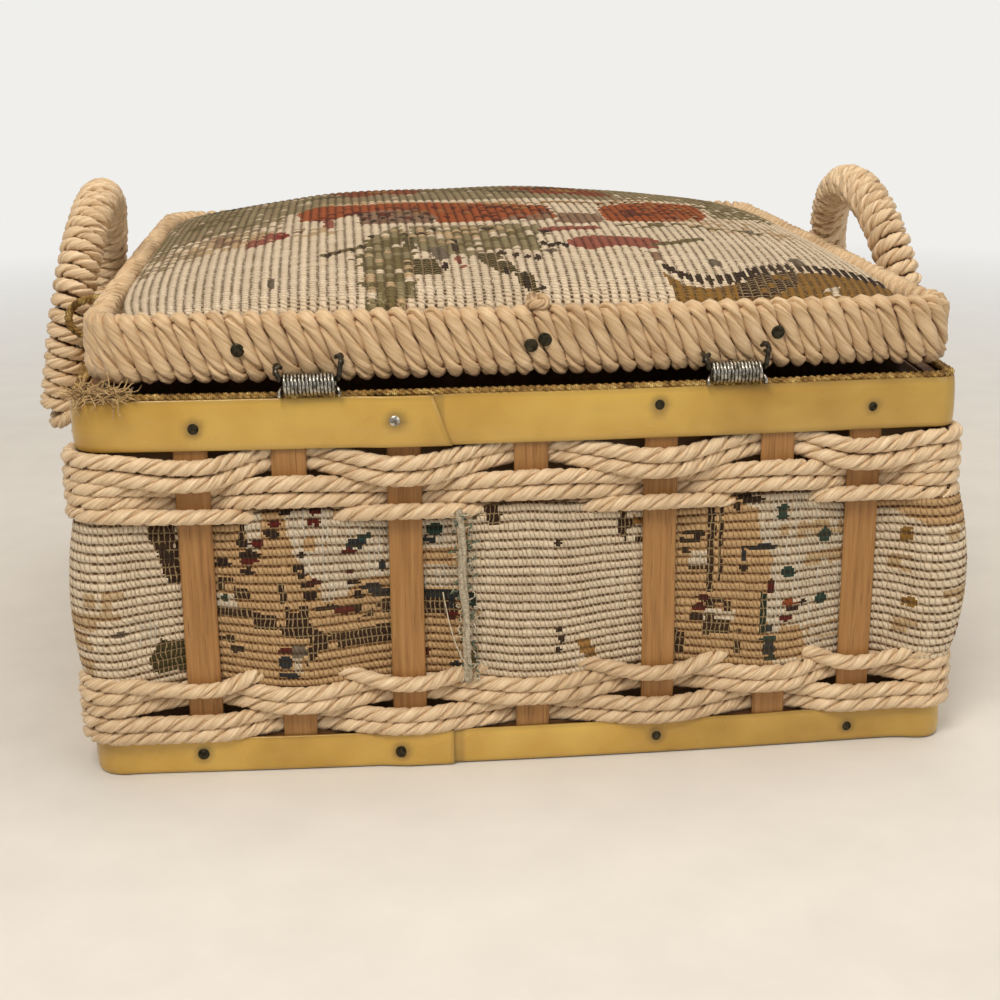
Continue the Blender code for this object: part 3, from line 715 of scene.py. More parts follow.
def make_slats():
    around = np.arange(16) * TAU / 16
    section_x = blunted(np.cos(around), 2 / 5.0) * SLAT_WIDTH / 2
    section_y = blunted(np.sin(around), 2 / 2.8) * SLAT_THICK / 2
    heights = np.linspace(0.3, BODY_HEIGHT - 0.3, 19)
    for number, s in enumerate(SLATS, 1):
        wobble = noise_line(len(heights), 4, 100 + number, False) * 0.12
        middle = BODY.at(s, WALL_MIDDLE, heights)
        face = BODY.facing(s)
        onward = np.array([-face[1], face[0], 0])
        wide = 1 + 0.012 * noise_line(len(heights), 5, 200 + number, False)
        ring = (
            middle[:, None]
            + onward * (section_x[None, :] * wide[:, None] + wobble[:, None])[..., None]
            + face * section_y[None, :, None]
        )
        obj = add_tubes(f"oak_slat_{number:02d}", [ring], False, [heights])
        place(obj, "body", "slat_wood", OAK, [f"slat_{number:02d}"])


# Woven cords

# For each cord: its first slat, whether it passes outside the first set of slats, and for each of its
# loops the height at the first set, between slats, at the second set, and its rise at the near left corner.
WOVEN = {
    "a": (17, True, ((90.3, 92.3, 94.0, 0.6), (85.8, 88.1, 90.2, 1.0))),
    "b": (18, False, ((82.6, 84.0, 85.4, 1.4), (78.7, 79.9, 80.9, 1.7))),
    "c": (17, True, ((76.7, 75.7, 74.8, 2.2),)),
    "d": (17, True, ((25.4, 28.4, 30.6, 0.0),)),
    "e": (18, False, ((25.4, 24.6, 23.8, 0.0), (21.2, 20.6, 19.9, 0.0))),
    "f": (17, True, ((16.2, 16.6, 17.0, 0.0), (12.2, 12.5, 12.9, 0.0))),
}
CORNER_OUT = (0.6, -1.0, -1.0, 1.6)


def woven_knots(first, outside_first, levels):
    count = len(SLATS)
    knots_s, knots_out, knots_z = [], [], []
    steps = count * len(levels) + 1
    for step in range(steps):
        number = (first + step) % count
        lap = (first + step) // count
        level = levels[min(step // count, len(levels) - 1)]
        s = SLATS[number] + lap * BODY.length
        is_first = number % 2 == 0
        out = SWING if is_first == outside_first else -SWING
        z = level[0] if is_first else level[2]
        for reach in (-SLAT_WIDTH / 2 - 0.4, SLAT_WIDTH / 2 + 0.4):
            knots_s.append(s + reach)
            knots_out.append(WALL_MIDDLE + out)
            knots_z.append(z)
        if step == steps - 1:
            break
        following = (number + 1) % count
        after = SLATS[following] + (lap + (following == 0)) * BODY.length
        level_after = levels[min((step + 1) // count, len(levels) - 1)]
        middle_z = (level[1] + level_after[1]) / 2
        if following % 7 == 0:
            corner = BODY.corners[number // 7] + lap * BODY.length
            rise = level[3] if following == 0 else 0.0
            for reach in (-7, 7):
                knots_s.append(corner + reach)
                knots_out.append(CORNER_OUT[number // 7])
                knots_z.append(middle_z + rise)
        else:
            knots_s.append((s + after) / 2)
            knots_out.append(WALL_MIDDLE)
            knots_z.append(middle_z)
    return np.array(knots_s), np.array(knots_out), np.array(knots_z)


def make_cords():
    step = 1.1
    for order, (letter, (first, outside_first, levels)) in enumerate(WOVEN.items()):
        knots_s, knots_out, knots_z = woven_knots(first, outside_first, levels)
        s = np.arange(knots_s[0], knots_s[-1], step)
        out = smooth(np.interp(s, knots_s, knots_out), 2.6 / step)
        z = smooth(np.interp(s, knots_s, knots_z), 3.2 / step)
        z += 0.22 * noise_line(len(s), 26, 300 + order, False)
        out += 0.15 * noise_line(len(s), 18, 320 + order, False)
        path = BODY.at(s, out, z)
        radius = CORD_RADIUS * (1 + 0.05 * noise_line(len(s), 14, 340 + order, False))
        obj = twisted(f"woven_cord_{letter}", path, BODY.facing(s), radius, CORD_LAY, phase=order * 1.3)
        place(obj, "body", "weaving_cord", PAPER, [f"weaving_cord_{letter}"])


# Handles

HANDLE_SPAN = 88.0
HANDLE_FOOT = 86.0
HANDLE_RISE = 40.4
HANDLE_STAND = 134.0
HANDLE_LEAN = 0.18
HANDLE_START = 124.5
HANDLE_WRAPS = 45
HANDLE_CORE, HANDLE_CORD, HANDLE_WOUND, HANDLE_LAY = 2.7, 2.12, 4.62, 13.2
HANDLE_KNEE = 6.0


def handle_line():
    """The handle's middle line at the +X wall, from the weave out, up, over and back in."""
    half, radius = HANDLE_SPAN / 2, HANDLE_KNEE
    knee = HANDLE_FOOT + radius
    leg = HANDLE_STAND + HANDLE_LEAN * (BODY_HEIGHT - knee)
    points = [(HANDLE_START, -half, HANDLE_FOOT)]
    for turn in np.linspace(0, math.pi / 2, 7):
        x = leg - radius * (1 - math.sin(turn))
        points.append((x, -half, knee - radius * math.cos(turn)))
    for turn in np.linspace(0, math.pi, 33):
        rise = HANDLE_RISE * math.sin(turn)
        points.append((HANDLE_STAND - HANDLE_LEAN * rise, -half * math.cos(turn), BODY_HEIGHT + rise))
    for x, _, z in points[7::-1]:
        points.append((x, half, z))
    return rounded_path(points, 0.5, 1.5)


def make_handle(name, sign, order):
    line = handle_line()
    line[:, 0] *= sign
    lengths = path_lengths(line)
    across = steady_reference(line, (0, 0, 1.0))
    core_at = np.linspace(0, lengths[-1], 90)
    core = sampled(core_at, lengths, line)
    core_ref = sampled(core_at, lengths, across)
    ring = tube_rings(core, core_ref, HANDLE_CORE, 10)
    obj = add_tubes(f"{name}_core_rod", [ring], False, [core_at])
    place(obj, "body", "handle_wood", HOOP, [f"{name}_core"])

    per_turn = 22
    count = HANDLE_WRAPS * per_turn
    along = np.linspace(0.6, lengths[-1] - 0.6, count + 1)
    along = along + 0.35 * noise_line(count + 1, 30, 400 + order, False)
    middle = sampled(along, lengths, line)
    reference = sampled(along, lengths, across)
    _, normal, binormal = frames_along(middle, reference)
    turn = np.arange(count + 1) * TAU / per_turn * sign
    radial = normal * np.cos(turn)[:, None] + binormal * np.sin(turn)[:, None]
    radius = HANDLE_WOUND + 0.12 * noise_line(count + 1, 16, 420 + order, False)
    wound = middle + radial * radius[:, None]
    obj = twisted(f"{name}_wrapping", wound, radial, HANDLE_CORD, HANDLE_LAY, phase=0.6 + order)
    place(obj, "body", "handle_cord", PAPER, [f"{name}_winding"])


# Rim of the lid

RIM_WRAPS = 194
RIM_DEPTH = 8.0
WRAP_RADIUS = 2.36
WOUND_LOW, WOUND_TOP = 112.1, 131.6
WRAP_LAY = 17.2


def rim_section(count):
    """The middle line of one wrap round the rim, from the top of its face downwards, as (out, z, share)."""
    low, high = WOUND_LOW + WRAP_RADIUS, WOUND_TOP - WRAP_RADIUS
    outer, inner = -WRAP_RADIUS - 0.05, -RIM_DEPTH + WRAP_RADIUS
    corners = [
        (outer, high - 1.0), (outer + 0.2, (low + high) / 2), (outer, low + 0.9),
        (outer - 0.3, low + 0.2), (outer - 1.0, low), (inner + 0.6, low),
        (inner, low + 0.8), (inner, high - 0.8), (inner + 0.6, high),
        (outer - 1.2, high), (outer - 0.4, high - 0.3), (outer, high - 1.0),
    ]
    corners = np.array([(x, z, 0) for x, z in corners])
    lengths = path_lengths(corners)
    at = np.arange(count) / count * lengths[-1]
    out, z, _ = sampled(at, lengths, corners).T
    face_share = lengths[3] / lengths[-1]
    return out, z, face_share


def make_rim():
    per_wrap = 28
    out, z, face_share = rim_section(per_wrap)
    count = RIM_WRAPS * per_wrap
    pitch = LID.length / RIM_WRAPS
    step = np.arange(count)
    wrap, part = step // per_wrap, (step % per_wrap) / per_wrap
    lean = 5.0
    down = np.interp(part, [0, face_share, 0.5, 0.86, 1], [0, lean, 5.6, pitch - 1.6, pitch])
    jitter = noise_line(RIM_WRAPS, 1.3, 500) * 0.34 + noise_line(RIM_WRAPS, 9, 501) * 0.4
    place_along = np.interp(step / per_wrap, np.arange(RIM_WRAPS + 1), np.append(jitter, jitter[0]))
    s = pitch * wrap + down + place_along
    bulge = 0.16 * noise_line(count, 40, 502)
    path = LID.at(s, np.tile(out, RIM_WRAPS) + bulge, np.tile(z, RIM_WRAPS))
    hollow = LID.at(s, np.full(count, -RIM_DEPTH / 2), np.full(count, (RIM_LOW + RIM_TOP) / 2))
    reference = path - hollow
    reference /= np.linalg.norm(reference, axis=1)[:, None]
    radius = WRAP_RADIUS * (1.0 + 0.05 * noise_line(count, 22, 503))
    obj = twisted("rim_wrapping", path, reference, radius, WRAP_LAY, closed=True)
    place(obj, "lid", "rim_cord", RIM_PAPER, ["rim_winding"])


CORE_OUT, CORE_HALF_THICK, CORE_MIDDLE, CORE_HALF_HIGH = -4.0, 1.5, 122.0, 7.8


def make_rim_core():
    """The bent wooden hoop inside the wrapping, rounded at its edges."""
    s = LID.steps(3)
    turn = np.arange(16) * TAU / 16
    out = CORE_OUT + CORE_HALF_THICK * blunted(np.cos(turn), 0.5)
    z = CORE_MIDDLE + CORE_HALF_HIGH * blunted(np.sin(turn), 0.4)
    wave = 0.08 * noise_line(len(s), 12, 510)
    ring = LID.at(s[:, None], out[None] + wave[:, None], z[None])
    obj = add_tubes("rim_core", [ring], True, [s])
    place(obj, "lid", "rim_wood", HOOP, ["rim_frame"])


def disc(centre, face, radius, rise, rings=6, sides=20, power=2.0):
    """A domed head: its middle stands out by the rise, and its rim turns back below the surface."""
    face = np.asarray(face, float) / np.linalg.norm(face)
    up = np.array([0, 0, 1.0])
    aside = np.cross(up, face)
    aside /= np.linalg.norm(aside)
    above = np.cross(face, aside)
    shares = np.append(np.linspace(0.06, 1, rings), 1.0)
    heights = rise * (1 - np.linspace(0.06, 1, rings) ** power)
    heights = np.append(heights, -0.8)
    turn = np.arange(sides) * TAU / sides
    ring = (
        np.asarray(centre, float)
        + aside * (shares[:, None] * np.cos(turn))[..., None] * radius
        + above * (shares[:, None] * np.sin(turn))[..., None] * radius
        + face * heights[:, None, None]
    )
    return ring


def join_rings(name, rings, closed=False):
    return add_tubes(name, rings, closed, [np.arange(len(ring)) * 0.5 for ring in rings])


# Plastic bands

TOP_BAND, BOTTOM_BAND = (94.8, 109.0), (0.3, 10.6)
BAND_THICK, BAND_LAP = 1.0, 12.0
TOP_LAP_X, BOTTOM_LAP_X, TOP_LAP_SLANT = -25.0, -21.0, 5.0
# along from a side's middle, and up from the band's
TOP_NAILS = ((-89.5, -0.8), (-35.5, 0.4), (37.0, 2.2), (97.5, -0.4))
BOTTOM_NAILS = ((-92.2, 0.5), (-36.0, -0.4), (37.8, 0.3), (95.0, -0.4))


def band_section(low, high, thick, count=12):
    """A strip's section as (out, z), soft-edged and a little crowned, its outer face first."""
    middle, half = (low + high) / 2, (high - low) / 2
    turn = np.linspace(-math.pi / 2, math.pi / 2, 2 * count + 1)
    z = middle + half * blunted(np.sin(turn), 0.55)
    out = -thick * (1 - np.cos(turn) ** 0.32) * 0.9 - 0.28 * ((z - middle) / half) ** 2
    back_z = np.linspace(high - 0.2, low + 0.2, 4)
    back_out = np.full(4, -thick)
    return np.append(out, back_out), np.append(z, back_z)


def make_band(name, low, high, lap_x, slant, seed, node, nails, bright):
    """A strip round the wall whose ends lap, with its nails."""
    lap = BAND_LAP
    start, end = lap_x - lap, lap_x + BODY.length
    s = np.arange(start, end, 1.2)
    s = np.append(s[s < end - 0.6], end)
    out, z = band_section(low, high, BAND_THICK)
    lift = np.interp(s, [start, end - lap - 9, end - lap - 1.5, end], [0, 0, 1.15, 1.05])
    wave = 0.25 * noise_line(len(s), 33, seed, False)
    top_wave = 0.22 * noise_line(len(s), 19, seed + 1, False)
    share = (z - low) / (high - low)
    middle = (low + high) / 2
    places = [(BODY.middles[side] + x, middle + rise) for side in range(4) for x, rise in nails]
    across = s[:, None] + slant * (1 - share)[None] * np.interp(s, [end - lap, end], [0, 1])[:, None]
    offset = lift[:, None] + 0.35 * (1 - np.abs(2 * share - 1))[None] * wave[:, None]
    rise = top_wave[:, None] * share[None] + 0.6 * wave[:, None] * (1 - share)[None] * 0.4
    points = BODY.at(across, out[None] + offset + 0.12, z[None] + rise)
    rows, columns = points.shape[:2]
    flat = points.reshape(-1, 3)
    quads, _, _ = turned_outward(flat, *grid_faces(rows, columns, False, True))
    first, last = np.arange(columns), np.arange(columns) + (rows - 1) * columns
    edge = np.clip(1 - np.minimum(share, 1 - share) * 9, 0, 1)
    grime_and_shade = np.tile(0.34 * edge, (rows, 1))
    ends = np.exp(-(s - start) / 1.5) + np.exp(-(end - s) / 0.6) * 0.5
    grime_and_shade = np.clip(grime_and_shade + ends[:, None] * 0.5, 0, 1)
    # painted shade: a darker line on the strip just beside the edge of its lapping end
    under = np.abs(s - (lap_x + 0.8)) < 2.0
    grime_and_shade[under] = np.clip(grime_and_shade[under] + 0.35, 0, 1)
    # painted shade: darker over a stretch from 35 mm right of the near side's middle round the near right
    # corner
    grime_and_shade += 0.22 * np.interp(s, [35, 80, 128, 145], [0, 1, 1, 0])[:, None]
    for s_nail, height in places:
        far = np.hypot(BODY.apart(s[:, None], s_nail), z[None] - height)
        grime_and_shade = np.maximum(grime_and_shade, np.clip(1.2 - far / 3.0, 0, 0.85))
    obj = add_piece(
        name, flat, [quads, np.stack([first, last[::-1]])], floats={"grime_and_shade": grime_and_shade.ravel()}
    )
    place(obj, "body", "band_plastic", PLASTIC, [node])

    heads, gleaming = [], []
    for number, (s_nail, height) in enumerate(places):
        face = BODY.facing(s_nail)
        lifted = 1.1 if lap_x - lap - 6 < s_nail < lap_x else 0.0
        centre = BODY.at(s_nail, 0.02 + lifted, height)
        if number == bright:
            gleaming.append(disc(centre, face, 1.6, 0.55))
        else:
            heads.append(disc(centre, face, 1.75, 0.25))
    obj = join_rings(name + "_nail_heads", heads)
    place(obj, "body", "spring_steel", NAIL_DARK)
    if gleaming:
        obj = join_rings(name + "_bright_nail", gleaming)
        place(obj, "body", "spring_steel", NAIL_BRIGHT)


# Woven pictures

# the yarn on the ribs, what shows between them, how far pale ties cross it, and how much white floats on it
CREAM = ((248, 232, 205), (92, 64, 36), 0.0, 0.25)
WHITE = ((236, 222, 198), (108, 84, 56), 0.0, 1.0)
STAIN = ((214, 188, 148), (112, 74, 38), 0.0, 0.0)
TAN = ((216, 182, 136), (92, 54, 20), 0.0, 0.0)
GOLD = ((172, 128, 70), (74, 46, 20), 0.2, 0.0)
BROWN = ((104, 74, 46), (54, 36, 22), 0.8, 0.0)
NET = ((58, 38, 26), (44, 28, 18), 0.95, 0.0)
OLIVENET = ((72, 66, 38), (42, 36, 22), 0.8, 0.0)
GOLDNET = ((150, 112, 50), (64, 38, 16), 0.3, 0.0)
NETTEAL = ((36, 52, 40), (30, 32, 26), 0.9, 0.0)
DARK = ((50, 34, 26), (36, 25, 19), 0.15, 0.0)
MAROON = ((96, 30, 24), (50, 22, 18), 0.1, 0.0)
BLUE = ((46, 52, 58), (36, 34, 32), 0.1, 0.0)
TEAL = ((44, 72, 64), (36, 40, 34), 0.1, 0.0)
OLIVE = ((120, 110, 72), (66, 54, 32), 0.2, 0.0)
SAGE = ((158, 147, 112), (88, 74, 48), 0.0, 0.0)
GREY = ((126, 114, 98), (72, 60, 46), 0.1, 0.0)
GREYPINK = ((158, 128, 104), (88, 62, 46), 0.0, 0.0)
PINK = ((168, 100, 82), (96, 56, 42), 0.0, 0.0)
RED = ((150, 56, 44), (80, 34, 24), 0.0, 0.0)
ORANGE = ((178, 94, 48), (84, 40, 16), 0.0, 0.0)
HAZE = ((172, 154, 122), (96, 78, 54), 0.0, 0.0)
RUST = ((150, 78, 44), (74, 34, 18), 0.1, 0.0)
RUSTDARK = ((112, 52, 34), (60, 30, 20), 0.0, 0.0)


class Picture:
    """A grid of coloured cells, some for each bead of each rib, painted with ragged shapes."""

    def __init__(self, columns, rows, cell, seed, left=0.0, low=0.0):
        self.yarns = [CREAM]
        self.cells = np.zeros((rows, columns), int)
        x = left + (np.arange(columns) + 0.5) * cell[0]
        y = low + (np.arange(rows) + 0.5) * cell[1]
        self.grid_x, self.grid_y = np.meshgrid(x, y)
        self.rng = np.random.default_rng(seed)

    def fill(self, inside, yarn, cover=1.0):
        if yarn not in self.yarns:
            self.yarns.append(yarn)
        patchy = self.blocks(RIB_CELLS, 2 * BEAD_CELLS) * 0.5 + 0.5
        self.cells[(inside > 0) & (patchy < cover)] = self.yarns.index(yarn)

    def blocks(self, high, wide):
        """Random numbers from -1 to 1 that stay the same over blocks of cells."""
        rows, columns = self.cells.shape
        coarse = self.rng.uniform(-1, 1, (rows // high + 2, columns // wide + 2))
        return np.repeat(np.repeat(coarse, high, 0), wide, 1)[:rows, :columns]

    def ragged(self, amount):
        """Unevenness that steps with the ribs and the beads, as woven edges do."""
        uneven = 0.45 * self.blocks(RIB_CELLS, 3 * BEAD_CELLS) + 0.4 * self.blocks(RIB_CELLS, BEAD_CELLS)
        return (uneven + 0.25 * self.blocks(1, 1)) * amount

    def marks(self, yarn, *places):
        """Short dashes of one yarn, each with its middle, half length and half height."""
        for x, y, rx, ry in places:
            self.ellipse(x, y, rx, ry, yarn)

    def patches(self, yarn, rough, cover, *outlines):
        """Areas of one yarn, as lists of corners or as boxes of (left, right, low, high)."""
        for outline in outlines:
            if isinstance(outline, tuple):
                left, right, low, high = outline
                outline = [(left, high), (right, high), (right, low), (left, low)]
            self.polygon(outline, yarn, rough, cover)

    def ellipse(self, x, y, rx, ry, yarn, rough=0.3, cover=1.0, turn=0.0):
        dx, dy = self.grid_x - x, self.grid_y - y
        c, s = math.cos(math.radians(turn)), math.sin(math.radians(turn))
        far = np.hypot((dx * c + dy * s) / rx, (-dx * s + dy * c) / ry)
        self.fill(1 - far + self.ragged(rough), yarn, cover)

    def line(self, points, width, yarn, rough=0.35, cover=1.0):
        inside = np.full(self.cells.shape, -1e9)
        for (x0, y0), (x1, y1) in zip(points, points[1:]):
            dx, dy = x1 - x0, y1 - y0
            along = np.clip(
                ((self.grid_x - x0) * dx + (self.grid_y - y0) * dy) / (dx * dx + dy * dy + 1e-9), 0, 1
            )
            far = np.hypot(self.grid_x - x0 - along * dx, self.grid_y - y0 - along * dy)
            inside = np.maximum(inside, 1 - 2 * far / width)
        self.fill(inside + self.ragged(rough), yarn, cover)

    def polygon(self, points, yarn, rough=0.0, cover=1.0):
        points = np.asarray(points, float)
        x, y = self.grid_x + self.ragged(rough), self.grid_y
        inside = np.zeros(self.cells.shape, bool)
        for (x0, y0), (x1, y1) in zip(points, np.roll(points, -1, 0)):
            crosses = (y0 > y) != (y1 > y)
            at = (x1 - x0) * (y - y0) / (y1 - y0 + 1e-12) + x0
            inside ^= crosses & (x < at)
        self.fill(np.where(inside, 1, -1), yarn, cover)

    def leaf(self, x, y, length, width, turn, yarn, vein):
        self.ellipse(x, y, length / 2, width / 2, yarn, 0.3, 1.0, turn)
        c, s = math.cos(math.radians(turn)), math.sin(math.radians(turn))
        half = length * 0.42
        self.line([(x - c * half, y - s * half), (x + c * half, y + s * half)], 1.6, vein, 0.5, 0.8)

    def flower(self, x, y, size, petal, heart, shade):
        for k in range(5):
            turn = 72 * k + 20
            c, s = math.cos(math.radians(turn)), math.sin(math.radians(turn))
            away = size * 0.55
            self.ellipse(x + c * away, y + s * away, size * 0.48, size * 0.34, petal, 0.3, 1.0, turn)
        for k in range(5):
            turn = 72 * k + 56
            c, s = math.cos(math.radians(turn)), math.sin(math.radians(turn))
            self.line([(x, y), (x + c * size * 0.8, y + s * size * 0.8)], 1.6, shade, 0.5, 0.7)
        self.ellipse(x, y, size * 0.24, size * 0.24, heart, 0.2)

    def beads_along(self, points, count, radii, yarn):
        """Upright ovals in a row along a line, taller towards its end."""
        points = np.asarray(points, float)
        lengths = path_lengths(points)
        for share in np.linspace(0, 1, count):
            x, y = sampled(share * lengths[-1], lengths, points)
            self.ellipse(x, y, radii[0], radii[1] + (radii[2] - radii[1]) * share, yarn, 0.1)

    def colours(self, columns, rows):
        """The yarn's and the ground's colours, each with its alpha, for cells given by number."""
        yarn = self.cells[rows, columns]
        shade = self.rng.normal(1.0, 0.03, self.cells.shape[0])[rows][..., None]
        table = np.array([[linear(*part)[:3] for part in kind[:2]] for kind in self.yarns])
        ties, floats = (np.array([kind[k] for kind in self.yarns])[yarn][..., None] for k in (2, 3))
        grounds = np.concatenate([table[yarn, 1], floats], -1)
        return np.concatenate([table[yarn, 0] * shade, ties], -1), grounds


RIB_CELLS, BEAD_CELLS = 4, 2
BAND_BEAD, BAND_RIB = 1.28, 2.36
BAND_RIBS = 20
CLOTH_LOW, CLOTH_HIGH = 22.0, 80.0


def near_face_picture(p):
    """The strip's pattern between the slats of the near side, in millimetres from its middle and up."""
    # first panel: cream, stained at the left, with a dark net of yarn beside the slat
    p.patches(
        STAIN, 1.2, 0.7, [(-122, 56), (-112, 57), (-111, 53), (-121, 52)],
        [(-125, 50), (-113, 50), (-112, 46), (-125, 45)],
        [(-125, 45), (-119, 44), (-120, 31), (-125, 31)],
    )
    p.line([(-115, 56), (-115, 50)], 2, STAIN)
    p.patches(NET, 0.8, 1.0, [(-104, 76), (-93, 76), (-95, 57), (-99, 57), (-101, 64), (-103, 70)])
    p.patches(DARK, 0.8, 0.6, [(-102, 76), (-100, 76), (-97, 59), (-99, 58), (-101, 66)])
    p.patches(CREAM, 1.0, 0.55, (-98, -94, 67, 73))
    p.patches(OLIVENET, 1.0, 1.0, [(-105, 36), (-103, 41), (-96, 39), (-95, 31), (-105, 31)])
    p.patches(WHITE, 1.0, 0.7, [(-110, 48), (-104, 47), (-102, 40), (-108, 40)])
    p.marks(GREY, (-113, 44, 2, 1))
    # second panel: a dark leafy scroll between gold and white
    p.patches(TAN, 0.0, 1.0, [(-89, 82), (-34, 82), (-34, 20), (-91, 20)])
    p.patches(
        WHITE, 1.0, 1.0,
        [(-66, 82), (-34, 82), (-34, 57), (-48, 57), (-50, 52), (-57, 51), (-58, 58), (-62, 60),
         (-64, 67), (-66, 72)],
        [(-77, 82), (-73, 82), (-73, 70), (-75, 64), (-77, 66)],
        [(-86, 53), (-80, 53), (-80, 49), (-87, 49)], (-66, -63, 30, 34),
    )
    p.patches(TAN, 0.6, 0.8, (-53, -44, 75, 78), (-61, -55, 66, 70))
    p.patches(
        NET, 0.6, 0.9, (-79, -77, 68, 82), (-86, -81, 54, 58), (-81, -77, 52, 55), (-87, -75, 47, 49),
        [(-76, 48), (-70, 47), (-70, 43), (-76, 43)], (-87, -82, 39, 41), (-69, -67, 51, 57),
        [(-67, 50), (-61, 50), (-60, 43), (-67, 43)],
        [(-69, 45), (-60, 43), (-50, 43), (-40, 50), (-34, 50), (-34, 37), (-50, 37), (-59, 36),
         (-61, 40), (-68, 41)],
        [(-61, 38), (-58, 38), (-59, 34), (-62, 32)],
    )
    p.patches(TAN, 0.5, 1.0, [(-58, 43), (-46, 45), (-34, 47), (-34, 44), (-46, 42), (-57, 41)])
    p.patches(GREY, 0.5, 1.0, [(-66, 39), (-62, 39), (-61, 35), (-66, 34)])
    p.marks(
        DARK, (-66, 77, 2, 1), (-70, 71, 2, 1), (-78, 68, 2, 1), (-76, 65, 3, 1), (-77, 60, 2, 1),
        (-62, 65, 1, 1), (-63, 61, 2, 1), (-62, 59, 1, 1), (-61, 56, 2, 1), (-60, 53, 2, 1),
        (-48, 56, 2, 1), (-47, 52, 2, 1), (-56, 49, 3, 1), (-48, 48, 2, 1), (-84, 62, 3, 1),
        (-81, 37, 2, 1),
    )
    p.marks(
        MAROON, (-58, 77, 2, 1), (-58, 74, 2, 1), (-69, 74, 2, 1), (-74, 68, 2, 1), (-77, 63, 3, 1),
        (-49, 65, 2, 1), (-59, 57, 2, 1), (-49, 59, 1, 1), (-51, 48, 3, 1), (-68, 37, 2, 1),
    )
    p.marks(
        BLUE, (-47, 67, 3, 1), (-43, 54, 3, 1), (-40, 52, 3, 1), (-40, 60, 1, 2), (-68, 33, 2, 2),
        (-67, 29, 3, 1),
    )
    p.marks(TEAL, (-45, 69, 2, 1), (-84, 52, 1, 1))
    # third panel, up to the seam
    p.patches(TAN, 0.0, 1.0, [(-31, 82), (-16, 82), (-17, 20), (-32, 20)])
    p.patches(WHITE, 0.3, 1.0, (-31, -19, 65, 82), (-31, -19, 53, 60))
    p.patches(BLUE, 0.3, 1.0, [(-31, 53), (-17, 52), (-17, 50), (-31, 50)])
    p.patches(NET, 0.3, 1.0, [(-31, 50), (-20, 50), (-19, 45), (-31, 45)])
    p.marks(TEAL, (-25, 70, 2, 2))
    p.marks(BLUE, (-27, 67, 2, 1), (-21, 49, 1, 2), (-20, 30, 2, 1))
    p.marks(MAROON, (-28, 34, 1, 1), (-21, 45, 2, 1))
    # fourth panel: plain cream with two nets of dark yarn and small marks
    p.patches(CREAM, 0.0, 1.0, [(-16, 82), (30, 82), (30, 20), (-17, 20)])
    p.patches(
        NET, 0.8, 0.8, [(-13, 79), (-8, 79), (-5, 71), (-10, 71)],
        [(29, 77), (40, 77), (40, 64), (31, 64), (26, 67)],
    )
    p.patches(GOLD, 0.8, 0.8, (31, 36, 69, 72), [(14, 37), (19, 36), (20, 31), (17, 31)])
    p.marks(TEAL, (-15, 50, 1, 3))
    p.marks(STAIN, (-14, 46, 1, 2), (-14, 35, 1, 1))
    p.marks(OLIVE, (-14, 75, 1, 2), (-15, 32, 1, 2))
    p.marks(DARK, (9, 66, 1, 1), (9, 40, 1, 1), (10, 37, 1, 1), (9, 34, 1, 1))
    # fifth panel: gold ground, small dark leaves, and teal squares on white
    p.patches(TAN, 0.6, 1.0, (41, 72, 20, 86), [(72, 38), (81, 38), (82, 27), (72, 27)])
    p.patches(
        WHITE, 0.8, 1.0,
        [(60, 86), (95, 86), (95, 28), (82, 30), (79, 38), (74, 38), (70, 36), (68, 46), (70, 52),
         (70, 60), (66, 66), (66, 73), (60, 76)],
    )
    p.patches(
        STAIN, 0.8, 0.65, [(72, 68), (80, 69), (94, 67), (94, 64), (72, 64)],
        [(80, 59), (95, 60), (95, 55), (79, 55)], [(81, 37), (94, 38), (94, 33), (82, 33)],
    )
    p.patches(
        NET, 0.3, 0.95, (52, 54, 49, 82), (55, 56, 52, 82), [(51, 47), (59, 46), (59, 36), (51, 36)],
        (60, 62, 30, 37), (47, 52, 55, 57), (43, 46, 30, 38),
    )
    p.patches(WHITE, 0.4, 0.9, [(51, 44), (60, 43), (60, 40), (51, 40)], (47, 52, 57, 61))
    p.patches(NETTEAL, 0.3, 1.0, [(67, 49), (69, 48), (69, 36), (67, 36)])
    p.patches(WHITE, 0.3, 1.0, [(70, 47), (73, 46), (73, 36), (70, 36)])
    p.marks(
        DARK, (48, 66, 3, 1), (47, 64, 3, 1), (46, 61, 1, 1), (49, 41, 2, 1), (64, 76, 4, 1),
        (60, 74, 1, 1), (88, 76, 3, 1), (77, 43, 2, 1), (80, 45, 1, 1), (62, 56, 1, 1),
    )
    p.marks(MAROON, (51, 47, 2, 1), (50, 44, 2, 1), (70, 50, 1, 2), (75, 40, 2, 1))
    p.marks(BLUE, (67, 62, 5, 1), (62, 60, 1, 2), (70, 37, 1, 1), (70, 31, 2, 2))
    p.marks(
        TEAL, (73, 73, 2, 1), (73, 71, 2, 1), (86, 64, 2, 2), (75, 54, 2, 2), (86, 45, 2, 2),
        (70, 34, 3, 1), (71, 28, 2, 1),
    )
    p.marks(RUST, (76, 45, 2, 1))
    # sixth panel, towards the corner
    p.patches(TAN, 0.4, 1.0, [(98, 86), (131, 86), (131, 66), (115, 67), (106, 71), (98, 72)])
    p.patches(NET, 0.3, 1.0, [(110, 79), (131, 84), (131, 78), (111, 76)])
    p.patches(
        STAIN, 0.6, 0.7, [(118, 67), (131, 67), (131, 62), (118, 63)], (105, 111, 53, 58),
        (107, 113, 34, 39), (118, 124, 43, 48),
    )
    p.marks(MAROON, (102, 75, 2, 1))
    p.marks(GOLDNET, (109, 64, 2, 2), (111, 44, 2, 2))
    p.marks(RUST, (124, 55, 1, 2), (123, 34, 1, 2))


